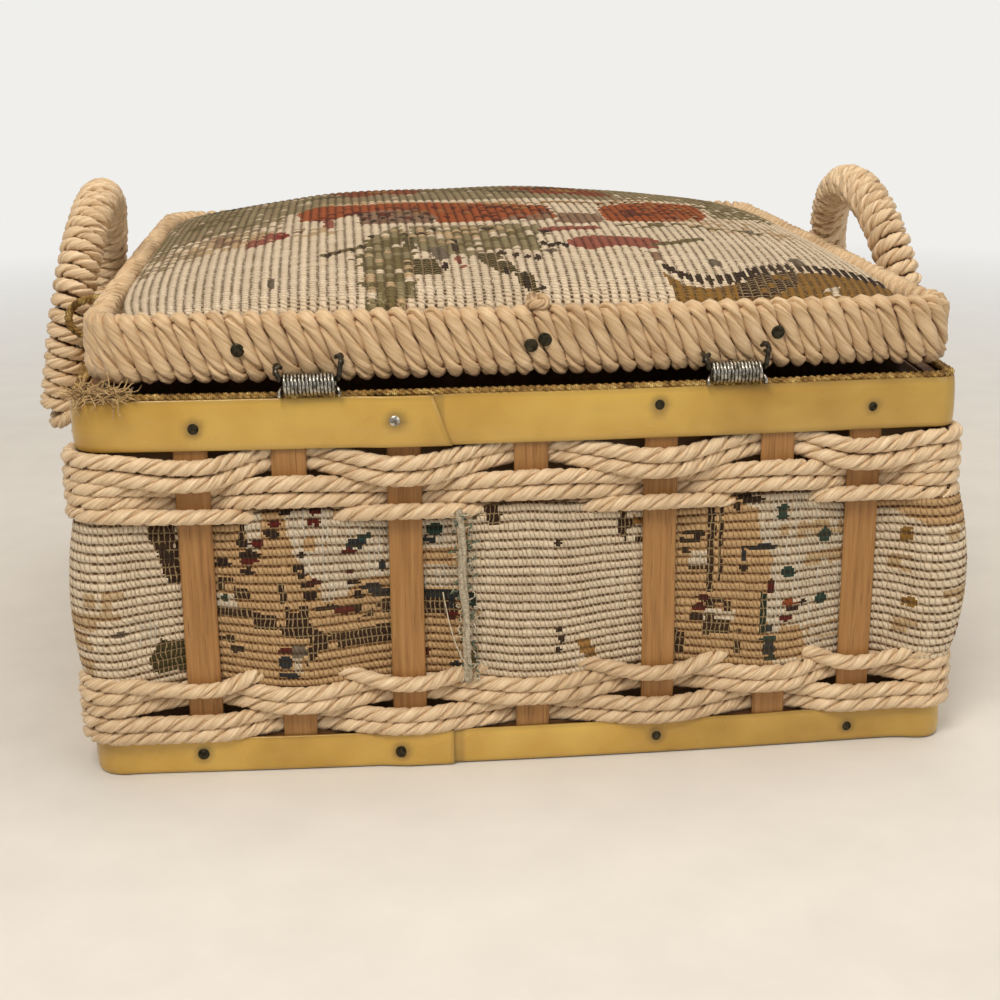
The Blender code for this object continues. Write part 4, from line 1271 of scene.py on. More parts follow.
def side_picture(p, length):
    """A loose floral scroll for the sides that the photograph doesn't show."""
    rng = np.random.default_rng(41)
    start = 134.0
    at = start
    kinds = 0
    while at < length - 142:
        y = 50 + rng.uniform(-5, 5)
        if kinds % 3 == 0:
            p.ellipse(at + 10, y, 17, 24, TAN, 0.4, 0.9, rng.uniform(-20, 20))
            p.flower(at + 10, y + 2, 13, RUST if kinds % 2 else PINK, GOLD, MAROON)
            p.leaf(at - 3, y - 14, 17, 7, 50, OLIVE, DARK)
            p.leaf(at + 24, y + 13, 16, 6.5, 35, SAGE, OLIVE)
        elif kinds % 3 == 1:
            bend = rng.uniform(-4, 4)
            p.line([(at - 6, 30), (at + 4, 44 + bend), (at + 16, 56), (at + 26, 74)], 3.6, BROWN, 0.5)
            p.line([(at - 4, 30), (at + 6, 44 + bend), (at + 18, 56)], 1.6, DARK, 0.5, 0.8)
            p.leaf(at + 2, 62, 15, 6.5, -40, SAGE, OLIVE)
            p.leaf(at + 20, 40, 15, 6, 15, GOLD, BROWN)
            p.ellipse(at + 10, 32, 3.2, 2.4, TEAL)
        else:
            p.polygon([(at - 6, 82), (at + 14, 82), (at + 9, 60), (at - 2, 54)], TAN, 2.0, 0.85)
            p.line([(at - 2, 76), (at + 3, 64), (at + 1, 54)], 2.2, DARK, 0.5, 0.8)
            for _ in range(5):
                yarn = TEAL if rng.random() < 0.5 else MAROON
                p.ellipse(at + rng.uniform(-4, 20), rng.uniform(30, 70), 2.2, 1.6, yarn)
            p.line([(at, 32), (at + 10, 36), (at + 22, 31)], 2.2, GOLD, 0.4)
        at += rng.uniform(25, 33)
        kinds += 1


def cloth_profile(s):
    """Where the strip's middle lies: out from the wall, and how open each place is, for arrays of s."""
    knots_s, knots_out, knots_puff = [], [], []
    count = len(SLATS)
    for step in range(-4, count + 7):
        number = step % count
        lap = step // count
        place_s = SLATS[number] + lap * BODY.length
        outside = number % 2 == 1
        for reach in (-SLAT_WIDTH / 2 - 0.2, SLAT_WIDTH / 2 + 0.2):
            knots_s.append(place_s + reach)
            knots_out.append(WALL_MIDDLE + (1.5 if outside else -1.45))
            knots_puff.append(1.0 if outside else 0.0)
        following = (number + 1) % count
        if following % 7 == 0:
            corner = BODY.corners[number // 7] + lap * BODY.length
            for reach in (-9, 9):
                knots_s.append(corner + reach)
                knots_out.append((1.2, -0.8, -0.8, 0.4)[number // 7])
                knots_puff.append(1.0)
    wrapped = np.mod(s, BODY.length)
    return np.interp(wrapped, knots_s, knots_out), np.interp(wrapped, knots_s, knots_puff)


def make_cloth_band():
    columns = BEAD_CELLS * int(round(BODY.length / BAND_BEAD))
    bead = BODY.length / columns
    cell_rows = BAND_RIBS * RIB_CELLS
    cell = (bead, (CLOTH_HIGH - CLOTH_LOW) / cell_rows)
    picture = Picture(columns, cell_rows, cell, 11, 0.0, CLOTH_LOW)
    side_picture(picture, BODY.length)
    # the near side's shapes are placed from its middle, so its left half wraps round
    reach = int(133.0 / bead)
    near = Picture(2 * reach, cell_rows, cell, 12, -reach * bead, CLOTH_LOW)
    near_face_picture(near)
    offset = len(picture.yarns)
    picture.yarns += near.yarns
    picture.cells[:, :reach] = near.cells[:, reach:] + offset
    picture.cells[:, -reach:] = near.cells[:, :reach] + offset

    s = np.arange(columns) * bead
    base, puff = cloth_profile(s)
    base = smooth(base, 3.2, True)
    puff = smooth(puff, 4.4, True)
    low = 27.4 - 2.2 * puff + 0.35 * noise_line(columns, 18, 600)
    high = 75.6 + 2.0 * puff + 0.3 * noise_line(columns, 18, 601)
    lines = cell_rows + 1
    share = np.linspace(0, 1, lines)
    z = low[:, None] + (high - low)[:, None] * share[None]
    corner_puff = np.zeros(columns)
    for place_s, amount in zip(BODY.corners, (3.2, 1.6, 1.6, 2.4)):
        corner_puff += amount * np.exp(-((BODY.apart(s, place_s) / 14) ** 2))
    belly = np.sin(math.pi * share) ** 0.7
    out = base[:, None] + (1.3 * puff + corner_puff)[:, None] * belly[None]
    out += 0.22 * noise_line(columns, 12, 602)[:, None] * belly[None]
    round_rib = np.abs(np.sin(math.pi * (np.arange(lines) / RIB_CELLS)))[None] ** 0.7
    front = BODY.at(s[:, None], out + 0.34 * round_rib, z)
    back_share = np.linspace(1, 0, 9)
    back_z = low[:, None] + (high - low)[:, None] * back_share[None]
    back_belly = np.sin(math.pi * back_share) ** 0.7
    back_out = base[:, None] + (1.3 * puff + corner_puff)[:, None] * back_belly[None] - 0.75
    back = BODY.at(s[:, None], back_out, back_z)
    points = np.concatenate([front, back], 1)
    rows, across = points.shape[:2]
    flat = points.reshape(-1, 3)
    quads, si, sj = turned_outward(flat, *grid_faces(rows, across, True, True))
    cell_column = si.min(1) % columns
    line_number = np.minimum(sj.min(1), lines - 2)
    level = low[cell_column] + (high - low)[cell_column] * (line_number + 0.5) / (lines - 1)
    cell_row = np.clip(((level - CLOTH_LOW) / cell[1]).astype(int), 0, cell_rows - 1)
    yarn, ground = picture.colours(cell_column, cell_row)
    u = si * bead
    v = np.minimum(sj, lines - 1) / RIB_CELLS * BAND_RIB
    uvs = np.stack([u, v], -1).reshape(-1, 2)
    obj = add_piece(
        "tapestry_strip", flat, [quads], uvs,
        {"yarn": np.repeat(yarn, 4, 0), "ground": np.repeat(ground, 4, 0)},
    )
    place(obj, "body", "body_tapestry", BAND_CLOTH, ["tapestry_band"])
    return obj


# Lid cushion

PAD_X, PAD_Y = 111.4, 112.4
PAD_LOW, PAD_EDGE, PAD_TOP = 128.4, 129.6, 147.2
LID_BEAD, LID_RIB = 1.3, 2.7


def lid_picture(columns, rows, cell):
    """Flowers, leaves and a dark scroll on cream, in millimetres right and away from the lid's middle."""
    p = Picture(columns, rows, cell, 21, -PAD_Y, -PAD_X)
    # beads run from front to back and ribs from left to right
    p.grid_x, p.grid_y = p.grid_y, p.grid_x
    # worn olive and grey grounds over the far half and down the left edge
    far_half = [
        (-112, 113), (-112, -20), (-90, -22), (-66, -8), (-40, 2), (0, -6), (40, -4), (72, 16), (112, 22),
        (112, 113),
    ]
    p.polygon(far_half, HAZE, 2.0, 0.92)
    p.polygon(far_half, SAGE, 2.0, 0.5)
    p.polygon([(-112, -20), (-112, -66), (-98, -62), (-80, -52), (-66, -36), (-66, -10)], HAZE, 2.0, 0.55)
    for x, y, wide, deep, yarn in (
        (-84, 72, 16, 16, TEAL), (-52, 56, 20, 9, OLIVE), (-92, 20, 10, 14, OLIVE),
        (-24, 84, 26, 8, OLIVE),
        (34, 62, 26, 10, TEAL), (76, 84, 18, 9, OLIVE), (90, 44, 12, 14, OLIVE), (0, 30, 24, 7, OLIVE),
    ):
        p.ellipse(x, y, wide, deep, yarn, 0.6, 0.6)
    for x, y, size in ((-34, 36, 19), (30, 26, 20), (-68, 84, 13), (58, 88, 15), (2, 84, 14)):
        p.flower(x, y, size, RUST, GOLD, RUSTDARK)
        p.leaf(x - size, y - 8, size, 7, 150, OLIVE, DARK)
        p.leaf(x + size, y + 7, size, 7, 30, SAGE, OLIVE)
    # sage and olive behind the flowers
    p.line([(-110, -25), (-92, -17), (-68, -15)], 4, OLIVE, 0.6, 0.7)
    p.line([(-108, 47), (-90, 42), (-69, 23)], 5, OLIVE, 0.6, 0.5)
    p.line([(-55, 4), (-40, -2), (-17, -12), (9, -15)], 5, TAN, 0.5, 0.8)
    # the left flower
    p.patches(
        ORANGE, 1.2, 1.0,
        [(-62, -8), (-56, 0), (-42, -6), (-18, -8), (8, -20), (18, -24), (19, -46), (0, -48), (-18, -48),
         (-24, -24), (-42, -26), (-51, -34), (-61, -28)],
    )
    p.patches(GREYPINK, 1.0, 1.0, [(-43, -24), (-24, -22), (-18, -40), (-20, -48), (-42, -46)])
    for row, x in enumerate(range(-42, -18, 3)):
        p.marks(DARK, (x, -28 - 3 * (row % 2), 1, 2), (x + 1, -38 - 4 * (row % 2), 1, 2))
    for row, x in enumerate(range(-36, 18, 6)):
        p.marks(RUSTDARK, (x, -18 - row, 1, 3), (x + 3, -34 - 5 * (row % 2), 1, 2))
    p.patches(PINK, 0.8, 1.0, [(-53, -32), (-50, -32), (-50, -48), (-54, -48)])
    # the small pink flower at the left, and its leaf
    p.patches(PINK, 1.0, 1.0, [(-78, -44), (-72, -40), (-65, -42), (-65, -52), (-72, -56), (-77, -58)])
    p.marks(RED, (-66, -48, 2, 5))
    p.patches(
        GREYPINK, 0.9, 0.6, [(-63, -41), (-59, -42), (-60, -49), (-63, -49)],
        [(-90, -23), (-79, -31), (-79, -48), (-87, -50)],
    )
    # the stem and its leaves
    p.line([(-53, -80), (-48, -77), (-38, -73)], 3, OLIVE, 0.5)
    p.marks(
        DARK, (-52, -80, 1, 2), (-49, -78, 1, 2), (-45, -77, 1, 2), (-42, -74, 1, 2), (-39, -63, 1, 2),
    )
    p.patches(SAGE, 0.9, 0.8, [(-42, -80), (-37, -60), (-30, -50), (-28, -66), (-28, -114), (-42, -114)])
    p.patches(OLIVE, 0.8, 0.5, [(-36, -90), (-30, -84), (-29, -108), (-34, -114), (-38, -114)])
    p.patches(SAGE, 1.2, 0.8, [(-28, -52), (12, -54), (10, -84), (-4, -80), (-14, -88), (-26, -80)])
    p.patches(
        OLIVENET, 0.7, 0.9, [(-30, -62), (-27, -62), (-26, -82), (-30, -80)],
        [(-31, -87), (-21, -87), (-20, -98), (-29, -98)], [(-10, -84), (-3, -84), (-2, -92), (-8, -92)],
        [(-8, -91), (-1, -90), (2, -98), (-4, -99)], [(0, -99), (5, -99), (6, -109), (2, -109)],
    )
    p.marks(GREY, (-20, -82, 3, 6), (12, -84, 2, 2), (-68, -98, 1, 4))
    p.marks(
        DARK, (-29, -63, 1, 2), (-23, -62, 3, 2), (-20, -56, 1, 2), (-4, -59, 2, 3), (-15, -76, 1, 8),
        (-19, -93, 1, 3), (-2, -84, 1, 2), (2, -86, 1, 2), (5, -88, 1, 2), (8, -89, 1, 2),
        (3, -103, 1, 5), (-2, -97, 1, 3), (7, -107, 1, 1),
    )
    p.marks(PINK, (-15, -88, 1, 3), (-14, -93, 1, 1))
    # the right flower
    p.line([(21, 32), (46, 56), (75, 60)], 5, TEAL, 0.6, 0.6)
    p.line([(14, -18), (26, -14), (40, -12)], 4, GOLD, 0.5, 0.8)
    p.patches(
        ORANGE, 1.2, 1.0,
        [(36, -20), (48, -8), (64, 4), (74, 8), (72, -20), (66, -38), (52, -44), (35, -48), (34, -36)],
    )
    p.patches(RUSTDARK, 0.8, 0.7, [(42, -26), (52, -20), (51, -33), (42, -38)])
    p.patches(GREYPINK, 1.0, 1.0, [(20, -38), (33, -36), (33, -50), (24, -54), (18, -52)])
    p.line([(14, -62), (28, -59)], 5, PINK, 0.5)
    p.patches(
        PINK, 1.0, 1.0,
        [(18, -74), (27, -68), (44, -68), (47, -74), (44, -80), (34, -78), (24, -83), (19, -80)],
    )
    p.patches(GREYPINK, 0.8, 0.7, [(40, -83), (45, -83), (44, -90), (40, -90)])
    p.marks(DARK, (13, -64, 2, 2), (11, -77, 1, 2), (13, -79, 1, 2), (15, -77, 1, 2), (17, -79, 1, 2))
    p.line([(44, -76), (52, -72), (60, -66)], 3, OLIVE, 0.4)
    p.line([(74, -8), (87, 3), (105, 27)], 5, OLIVE, 0.6, 0.6)
    p.line([(40, -54), (58, -47), (80, -48)], 6, OLIVE, 0.6, 0.5)
    p.patches(SAGE, 1.5, 0.8, [(80, 20), (104, 60), (106, 22), (85, -20), (72, -25)])
    # darker and paler stitches scattered over the flowers and the leaf
    for x, y, wide, deep, yarn, cover in (
        (-38, -28, 22, 14, RUSTDARK, 0.22), (4, -36, 16, 16, RUSTDARK, 0.3), (-8, -24, 20, 10, GOLD, 0.2),
        (52, -22, 18, 18, RUSTDARK, 0.3), (58, -8, 14, 14, GOLD, 0.25), (-35, -88, 9, 24, OLIVE, 0.4),
        (-35, -96, 8, 16, STAIN, 0.25), (-4, -68, 16, 14, OLIVE, 0.3), (-14, -62, 20, 10, STAIN, 0.25),
        (86, 8, 16, 22, OLIVE, 0.35), (16, -44, 12, 8, GREYPINK, 0.4), (78, -40, 20, 14, STAIN, 0.4),
        (-86, -42, 16, 14, STAIN, 0.35), (-58, -52, 10, 8, STAIN, 0.3),
    ):
        p.ellipse(x, y, wide, deep, yarn, 0.4, cover)
    # the brown-gold scroll at the right front
    p.patches(
        GOLDNET, 0.6, 1.0,
        [(42, -98), (47, -106), (54, -108), (64, -105), (72, -99), (90, -95), (106, -97), (113, -104),
         (113, -114), (44, -114)],
    )
    p.patches(NET, 0.6, 0.75, [(62, -104), (72, -97), (83, -95), (80, -107), (70, -112), (62, -112)])
    p.patches(WHITE, 0.8, 0.6, [(87, -109), (93, -106), (92, -112), (87, -112)])
    scroll = [
        (44, -95), (48, -101), (54, -103), (62, -102), (70, -96), (80, -92), (90, -91), (100, -92),
        (112, -97),
    ]
    p.beads_along(scroll, 27, (1.1, 2.4, 6.0), DARK)
    p.marks(GREY, (59, -91, 2, 3), (85, -85, 2, 4), (80, -47, 2, 4))
    return p


def pad_height(x, y):
    a, b = np.clip(np.abs(x) / PAD_X, 0, 1), np.clip(np.abs(y) / PAD_Y, 0, 1)
    crown = np.clip((1 - a ** 2.1) * (1 - b ** 2.1), 0, 1) ** 0.62
    return PAD_EDGE + (PAD_TOP - PAD_EDGE) * crown


def make_pad():
    ribs = int(round(2 * PAD_X / LID_RIB))
    rows = RIB_CELLS * ribs
    columns = BEAD_CELLS * int(round(2 * PAD_Y / LID_BEAD))
    picture = lid_picture(columns, rows, (2 * PAD_Y / columns, 2 * PAD_X / rows))
    count_x, count_y = rows + 1, columns + 1
    grid = np.linspace(-1, 1, count_x), np.linspace(-1, 1, count_y)
    x, y = np.meshgrid(grid[0] * PAD_X, grid[1] * PAD_Y, indexing="ij")
    u, v = np.meshgrid(*grid, indexing="ij")
    tuck = 1 - 0.04 * (np.abs(u) * np.abs(v)) ** 5
    z = pad_height(x, y)
    rounded = np.abs(np.sin(math.pi * np.arange(count_x) / RIB_CELLS))[:, None] ** 0.7
    fade = np.clip((1 - np.maximum(np.abs(u), np.abs(v))) * 40, 0, 1)
    slow = noise_line(count_x, 40, 700, False)[:, None] * noise_line(count_y, 60, 701, False)[None]
    dimple = noise_line(count_x, 26, 702, False)[:, None] + noise_line(count_y, 40, 703, False)[None]
    z = z + (0.4 * rounded + 0.5 * slow + 0.25 * dimple) * fade
    top = np.stack([x * tuck, y * tuck, z], -1)
    quads, si, sj = grid_faces(count_x, count_y, False, False)
    flat = top.reshape(-1, 3)
    yarn, ground = picture.colours(sj.min(1), si.min(1))
    uvs = np.stack([sj * (2 * PAD_Y / columns), si / RIB_CELLS * LID_RIB], -1).reshape(-1, 2)
    # skirt down to the board, and a flat underside
    edge = grid_edge(count_x, count_y)
    down = flat[edge] * (1, 1, 0) + (0, 0, PAD_LOW)
    middle = np.array([[0, 0, PAD_LOW]])
    base = len(flat)
    following = np.roll(np.arange(len(edge)), -1)
    skirt = np.stack([edge, base + np.arange(len(edge)), base + following, edge[following]], 1)
    under = np.stack([np.full(len(edge), base + len(edge)), base + following, base + np.arange(len(edge))], 1)
    vertices = np.concatenate([flat, down, middle])
    if volume_of(vertices, np.concatenate([quads, skirt])) < 0:
        quads, uvs = quads[:, ::-1], uvs.reshape(-1, 4, 2)[:, ::-1].reshape(-1, 2)
        skirt, under = skirt[:, ::-1], under[:, ::-1]
    plain = np.array([[*linear(*CREAM[0])[:3], 0.0]])
    yarn = np.concatenate([np.repeat(yarn, 4, 0), np.repeat(plain, skirt.size + under.size, 0)])
    ground = np.concatenate([np.repeat(ground, 4, 0), np.repeat(plain * 0.5, skirt.size + under.size, 0)])
    uvs = np.concatenate([uvs, np.zeros((skirt.size + under.size, 2))])
    obj = add_piece("lid_cushion", vertices, [quads, skirt, under], uvs, {"yarn": yarn, "ground": ground})
    place(obj, "lid", "lid_tapestry", LID_CLOTH, ["lid_pad"])


BAND_CLOTH = tapestry_material("strip_tapestry", BAND_RIB, BAND_BEAD, 0.8)
LID_CLOTH = tapestry_material("lid_tapestry", LID_RIB, LID_BEAD, 0.32)


# Trims, springs and lining

BRAID_OUT, BRAID_SWING, BRAID_HEIGHT = -1.9, 1.15, 109.5
BRAID_WAVE, BRAID_THREAD = 6.2, 0.62


def make_braid():
    """Three gold threads plaited along the top of the wall."""
    s = BODY.steps(0.6)
    waves = round(BODY.length / BRAID_WAVE)
    rings, lengths = [], []
    reference = BODY.facing(s)
    for strand in range(3):
        turn = TAU * waves * s / BODY.length + TAU * strand / 3
        rise = 0.32 * np.sin(2 * turn) + 0.15 * noise_line(len(s), 30, 800)
        path = BODY.at(s, BRAID_OUT + BRAID_SWING * np.sin(turn), BRAID_HEIGHT + rise)
        rings.append(tube_rings(path, reference, BRAID_THREAD, 6, closed=True))
        lengths.append(s)
    obj = add_tubes("top_gold_braid", rings, True, lengths)
    place(obj, "body", "gold_braid", BRAID, ["top_braid"])


LOOP_Y, LOOP_OUT, LOOP_REACH, LOOP_HALF, LOOP_FOOT = -75.0, 119.3, 8.5, 5.5, 115.5
LOOP_RADIUS, LOOP_LAY = 1.25, 4.6


def make_loop():
    """The gold cord loop that stands out from the rim's left side."""
    turn = np.linspace(-math.pi / 2, math.pi / 2, 60)
    middle = (RIM_LOW + RIM_TOP) / 2
    out = LOOP_OUT + LOOP_REACH * np.cos(turn)
    path = np.stack([-out, LOOP_Y + 1.5 * np.sin(2 * turn), middle + LOOP_HALF * np.sin(turn)], 1)
    feet = [np.array([[-LOOP_FOOT, LOOP_Y, middle + side * LOOP_HALF]]) for side in (-1, 1)]
    path = rounded_path(np.concatenate([feet[0], path, feet[1]]), 0.35, 0.7)
    reference = steady_reference(path, (0, 1, 0))
    obj = twisted("gold_cord_loop", path, reference, LOOP_RADIUS, LOOP_LAY, plies=3, sides=8, fill=0.6)
    place(obj, "lid", "loop_cord", BRAID, ["lid_cord_loop"])


HINGE_X = 58.0
AXIS_Y, AXIS_Z = -125.12, 112.8
WIRE_RADIUS, COIL_RADIUS, COIL_HALF, COIL_TURNS = 0.47, 2.8, 6.9, 14


# the bends of each wire: aside from the coil's end, back from its axis and up from it
SPRING_LEG = (
    (-0.4, -0.2, -0.6), (0.7, -1.4, -0.8), (1.3, -2.4, -2.2), (1.2, -2.6, -2.4), (1.0, -2.2, -3.2),
    (0.6, 2.2, -2.6), (0.6, 4.4, -4.2),
)
LID_LEG_FOOT = ((0.55, 0.0, 1.6), (0.7, -0.9, 1.2), (1.0, -1.8, 1.8))
LID_LEG_TOP = ((1.8, -0.9, 0.0), (2.0, 1.2, 0.8), (1.6, 3.6, 0.6))
LID_HOOK = ((0.4, 1.4, 0.4), (0.8, -0.6, 1.2), (2.0, -1.0, 0.4), (2.2, -0.4, -1.0), (1.4, 1.8, -1.2))


def bent_wire(x, sign, bends, roundness, radius):
    """A wire through its bends at one end of the coil whose middle is at x."""
    points = [(x + sign * (COIL_HALF + aside), AXIS_Y + back, AXIS_Z + up) for aside, back, up in bends]
    path = rounded_path(points, 0.35, roundness)
    return tube_rings(path, steady_reference(path, (1, 0, 0)), radius, 8)


def make_springs():
    """The two coils with their legs on the body, and the hooks that hold them to the lid."""
    for name, x in (("left_hinge", -HINGE_X), ("right_hinge", HINGE_X)):
        count = COIL_TURNS * 18
        turn = np.arange(count + 1) * TAU / 18
        coil = np.stack([
            x - COIL_HALF + 2 * COIL_HALF * np.arange(count + 1) / count,
            AXIS_Y + COIL_RADIUS * np.cos(turn), AXIS_Z + COIL_RADIUS * np.sin(turn),
        ], 1)
        radial = np.stack([np.zeros(count + 1), np.cos(turn), np.sin(turn)], 1)
        rings = [tube_rings(coil, radial, WIRE_RADIUS, 8)]
        for sign in (-1, 1):
            rings.append(bent_wire(x, sign, SPRING_LEG, 0.8, WIRE_RADIUS))
        obj = join_rings(name + "_coil_and_legs", rings)
        place(obj, "body", "spring_steel", STEEL, [name + "_spring", name + "_body_staple"])
        rings = []
        for sign, rise in ((-1, 4.0), (1, 6.4)):
            leg = LID_LEG_FOOT + tuple((aside, back, rise + up) for aside, back, up in LID_LEG_TOP)
            hook = tuple((aside, back, rise + up) for aside, back, up in LID_HOOK)
            rings.append(bent_wire(x, sign, leg, 0.6, WIRE_RADIUS * 1.5))
            rings.append(bent_wire(x, sign, hook, 0.5, WIRE_RADIUS * 1.2))
        obj = join_rings(name + "_lid_hooks", rings)
        place(obj, "lid", "spring_steel", HOOK, [name + "_lid_staple"])


RIM_NAILS = ((-76.7, 121.6), (2.1, 121.0), (5.9, 122.5), (70.4, 122.6))


def make_rim_nails():
    rings = []
    for x, z in RIM_NAILS:
        rings.append(disc(LID.at(x, 0.2, z), LID.facing(x), 1.85, 0.2))
    obj = join_rings("rim_nail_heads", rings)
    place(obj, "lid", "spring_steel", NAIL_DARK)


LINING_INSET = 7.9


def make_lining():
    """Satin over card: soft vertical folds inside the wall, and a padded floor."""
    s = BODY.steps(2.2)
    columns = len(s)
    heights = np.concatenate([[108.2], np.linspace(107.4, 6, 26), [4.2, 3.6]])
    folds = np.sin(TAU * s / 11.0 + 1.5 * noise_line(columns, 10, 900)) * 0.28
    inner = -LINING_INSET - 1.2 - 0.1 + folds[:, None] * np.clip((108 - heights) / 20, 0, 1)[None]
    inner[:, 0] = -LINING_INSET - 0.9
    inner[:, -2] -= 0.8
    inner[:, -1] -= 2.6
    inside = BODY.at(s[:, None], inner, heights[None])
    outer_heights = np.array([2.9, 30.0, 80.0, 107.6, 108.2])
    outer = BODY.at(s[:, None], -LINING_INSET, outer_heights[None])
    outer[:, -1] = BODY.at(s, -LINING_INSET - 0.4, 108.3)
    ring = np.concatenate([inside[:, ::-1], inside[:, :1] * 0.5 + outer[:, -1:] * 0.5, outer[:, ::-1]], 1)
    rows, across = ring.shape[:2]
    quads, _, _ = grid_faces(rows, across, True, False)
    flat = ring.reshape(-1, 3)
    floor_ring = np.arange(rows) * across
    base_ring = np.arange(rows) * across + across - 1
    extra, faces = [], []
    previous = floor_ring
    offset = len(flat)
    for level in (0.75, 0.5, 0.25):
        points = flat[floor_ring] * (level, level, 1) + (0, 0, 0.9 * (1 - level))
        extra.append(points)
        index = offset + np.arange(rows)
        faces.append(np.stack([previous, np.roll(previous, -1), np.roll(index, -1), index], 1))
        previous = index
        offset += rows
    extra.append(np.array([[0, 0, 4.7]]))
    top_fan = np.stack([previous, np.roll(previous, -1), np.full(rows, offset)], 1)
    extra.append(np.array([[0, 0, 2.9]]))
    low_fan = np.stack([np.roll(base_ring, -1), base_ring, np.full(rows, offset + 1)], 1)
    vertices = np.concatenate([flat, *extra])
    quads = np.concatenate([quads, *faces])
    obj = add_piece("satin_lining", vertices, [quads, top_fan, low_fan])
    fix_normals(obj)
    place(obj, "body", "lining_box", SATIN, ["lining_box"])


def fix_normals(obj):
    shape = bmesh.new()
    shape.from_mesh(obj.data)
    bmesh.ops.recalc_face_normals(shape, faces=shape.faces)
    if shape.calc_volume(signed=True) < 0:
        bmesh.ops.reverse_faces(shape, faces=shape.faces)
    shape.to_mesh(obj.data)
    shape.free()


def make_lid_lining():
    """The satin panel under the lid, softly padded."""
    low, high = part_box("lid_lining")
    half_x, half_y = (high.x - low.x) / 2 / MM, (high.y - low.y) / 2 / MM
    bottom, top = low.z / MM, high.z / MM
    n = 41
    u, v = np.meshgrid(np.linspace(-1, 1, n), np.linspace(-1, 1, n), indexing="ij")
    tuck = 1 - 0.03 * (np.abs(u) * np.abs(v)) ** 6
    puff = np.sqrt(np.clip((1 - np.abs(u) ** 6) * (1 - np.abs(v) ** 6), 0, 1))
    wave = noise_line(n, 5, 910, False)[:, None] * noise_line(n, 6, 911, False)[None]
    z = bottom + 0.9 - (0.9 + 0.25 * wave) * puff
    under = np.stack([u * half_x * tuck, v * half_y * tuck, z], -1).reshape(-1, 3)
    over = under * (1, 1, 0) + (0, 0, top)
    quads, _, _ = grid_faces(n, n, False, False)
    edge = grid_edge(n, n)
    total = n * n
    skirt = np.stack([edge, edge + total, np.roll(edge, -1) + total, np.roll(edge, -1)], 1)
    obj = add_piece("lid_satin_panel", np.concatenate([under, over]), [quads, quads[:, ::-1] + total, skirt])
    fix_normals(obj)
    place(obj, "lid", "lid_lining", SATIN, ["lid_lining"])


def thread_rings(paths, radius, sides=5):
    rings = []
    for path in paths:
        start = np.cross(path[1] - path[0], (0.3, 0.5, 0.8))
        start /= np.linalg.norm(start)
        taper = radius * np.interp(np.linspace(0, 1, len(path)), [0, 0.8, 1], [1, 1, 0.5])
        rings.append(tube_rings(path, steady_reference(path, start), taper, sides))
    return rings


def curl(rng, start, heading, length, wander, points=9):
    """A short loose thread from a place, wandering as it goes."""
    line = [np.asarray(start, float)]
    heading = np.asarray(heading, float)
    for _ in range(points - 1):
        heading = heading + rng.normal(0, wander, 3)
        heading /= np.linalg.norm(heading)
        line.append(line[-1] + heading * length / (points - 1))
    return np.array(line)


FRAY_COUNT, FRAY_RADIUS = 150, 0.19


def make_fray():
    """The frayed end of the gold braid at the near left corner, under the lid."""
    rng = np.random.default_rng(31)
    paths = []
    for _ in range(FRAY_COUNT):
        s = rng.uniform(-122, -106)
        out, z = rng.uniform(-2.6, 0.8), rng.uniform(109.2, 111.6)
        start = BODY.at(s, out, z)
        heading = (rng.uniform(-1, 1), rng.uniform(-0.4, 0.2), rng.uniform(-0.12, 0.2))
        paths.append(curl(rng, start, heading, rng.uniform(4, 8), 0.22))
    obj = join_rings("frayed_braid_end", thread_rings(paths, FRAY_RADIUS))
    place(obj, "body", "gold_braid", STRAW)


def make_seam_fold():
    """The strip's end, folded over into a soft pale roll that stands out along the seam."""
    heights = np.linspace(76.5, 26.0, 60)
    wobble = noise_line(60, 9, 930, False)
    s = -18.4 + (76 - heights) * 0.035 + 0.35 * wobble
    out = np.interp(heights, [26, 32, 52, 70, 76.5], [0.0, 1.5, 2.0, 1.5, 0.2])
    out += 0.2 * noise_line(60, 7, 931, False)
    path = BODY.at(s, out, heights)
    width = 1.15 + 0.18 * noise_line(60, 8, 932, False)
    obj = twisted("seam_fold", path, BODY.facing(s), width, 60.0, sides=12, fill=0.75)
    place(obj, "body", "body_tapestry", FOLD)


# a thread that hangs beside the seam: along the wall, out from it and up
LONG_THREAD = (
    (-23.4, 1.2, 53.0), (-22.6, 2.2, 48.0), (-21.4, 2.9, 42.0), (-19.6, 3.3, 36.0), (-17.4, 2.9, 31.5),
    (-15.4, 2.0, 28.6),
)


def make_seam_threads():
    """Loose threads along the strip's open seam."""
    rng = np.random.default_rng(33)
    pale, green = [], []
    for _ in range(110):
        z = rng.uniform(27, 76)
        s = -18.0 + (76 - z) * 0.035 + rng.choice((-1.9, 1.9)) + rng.uniform(-0.7, 0.7)
        start = BODY.at(s, 1.0, z)
        heading = (rng.uniform(-1, 1), rng.uniform(-0.5, 0.0), rng.uniform(-0.6, 0.6))
        kind = pale if rng.random() < 0.55 else green
        kind.append(curl(rng, start, heading, rng.uniform(1.2, 3.2), 0.5, 7))
    long_thread = [BODY.at(*point) for point in LONG_THREAD]
    pale.append(rounded_path(np.array(long_thread), 1.0, 3.0))
    obj = join_rings("seam_pale_threads", thread_rings(pale, 0.17))
    place(obj, "body", "body_tapestry", THREAD)
    obj = join_rings("seam_green_threads", thread_rings(green, 0.28))
    place(obj, "body", "body_tapestry", THREAD_GREEN)


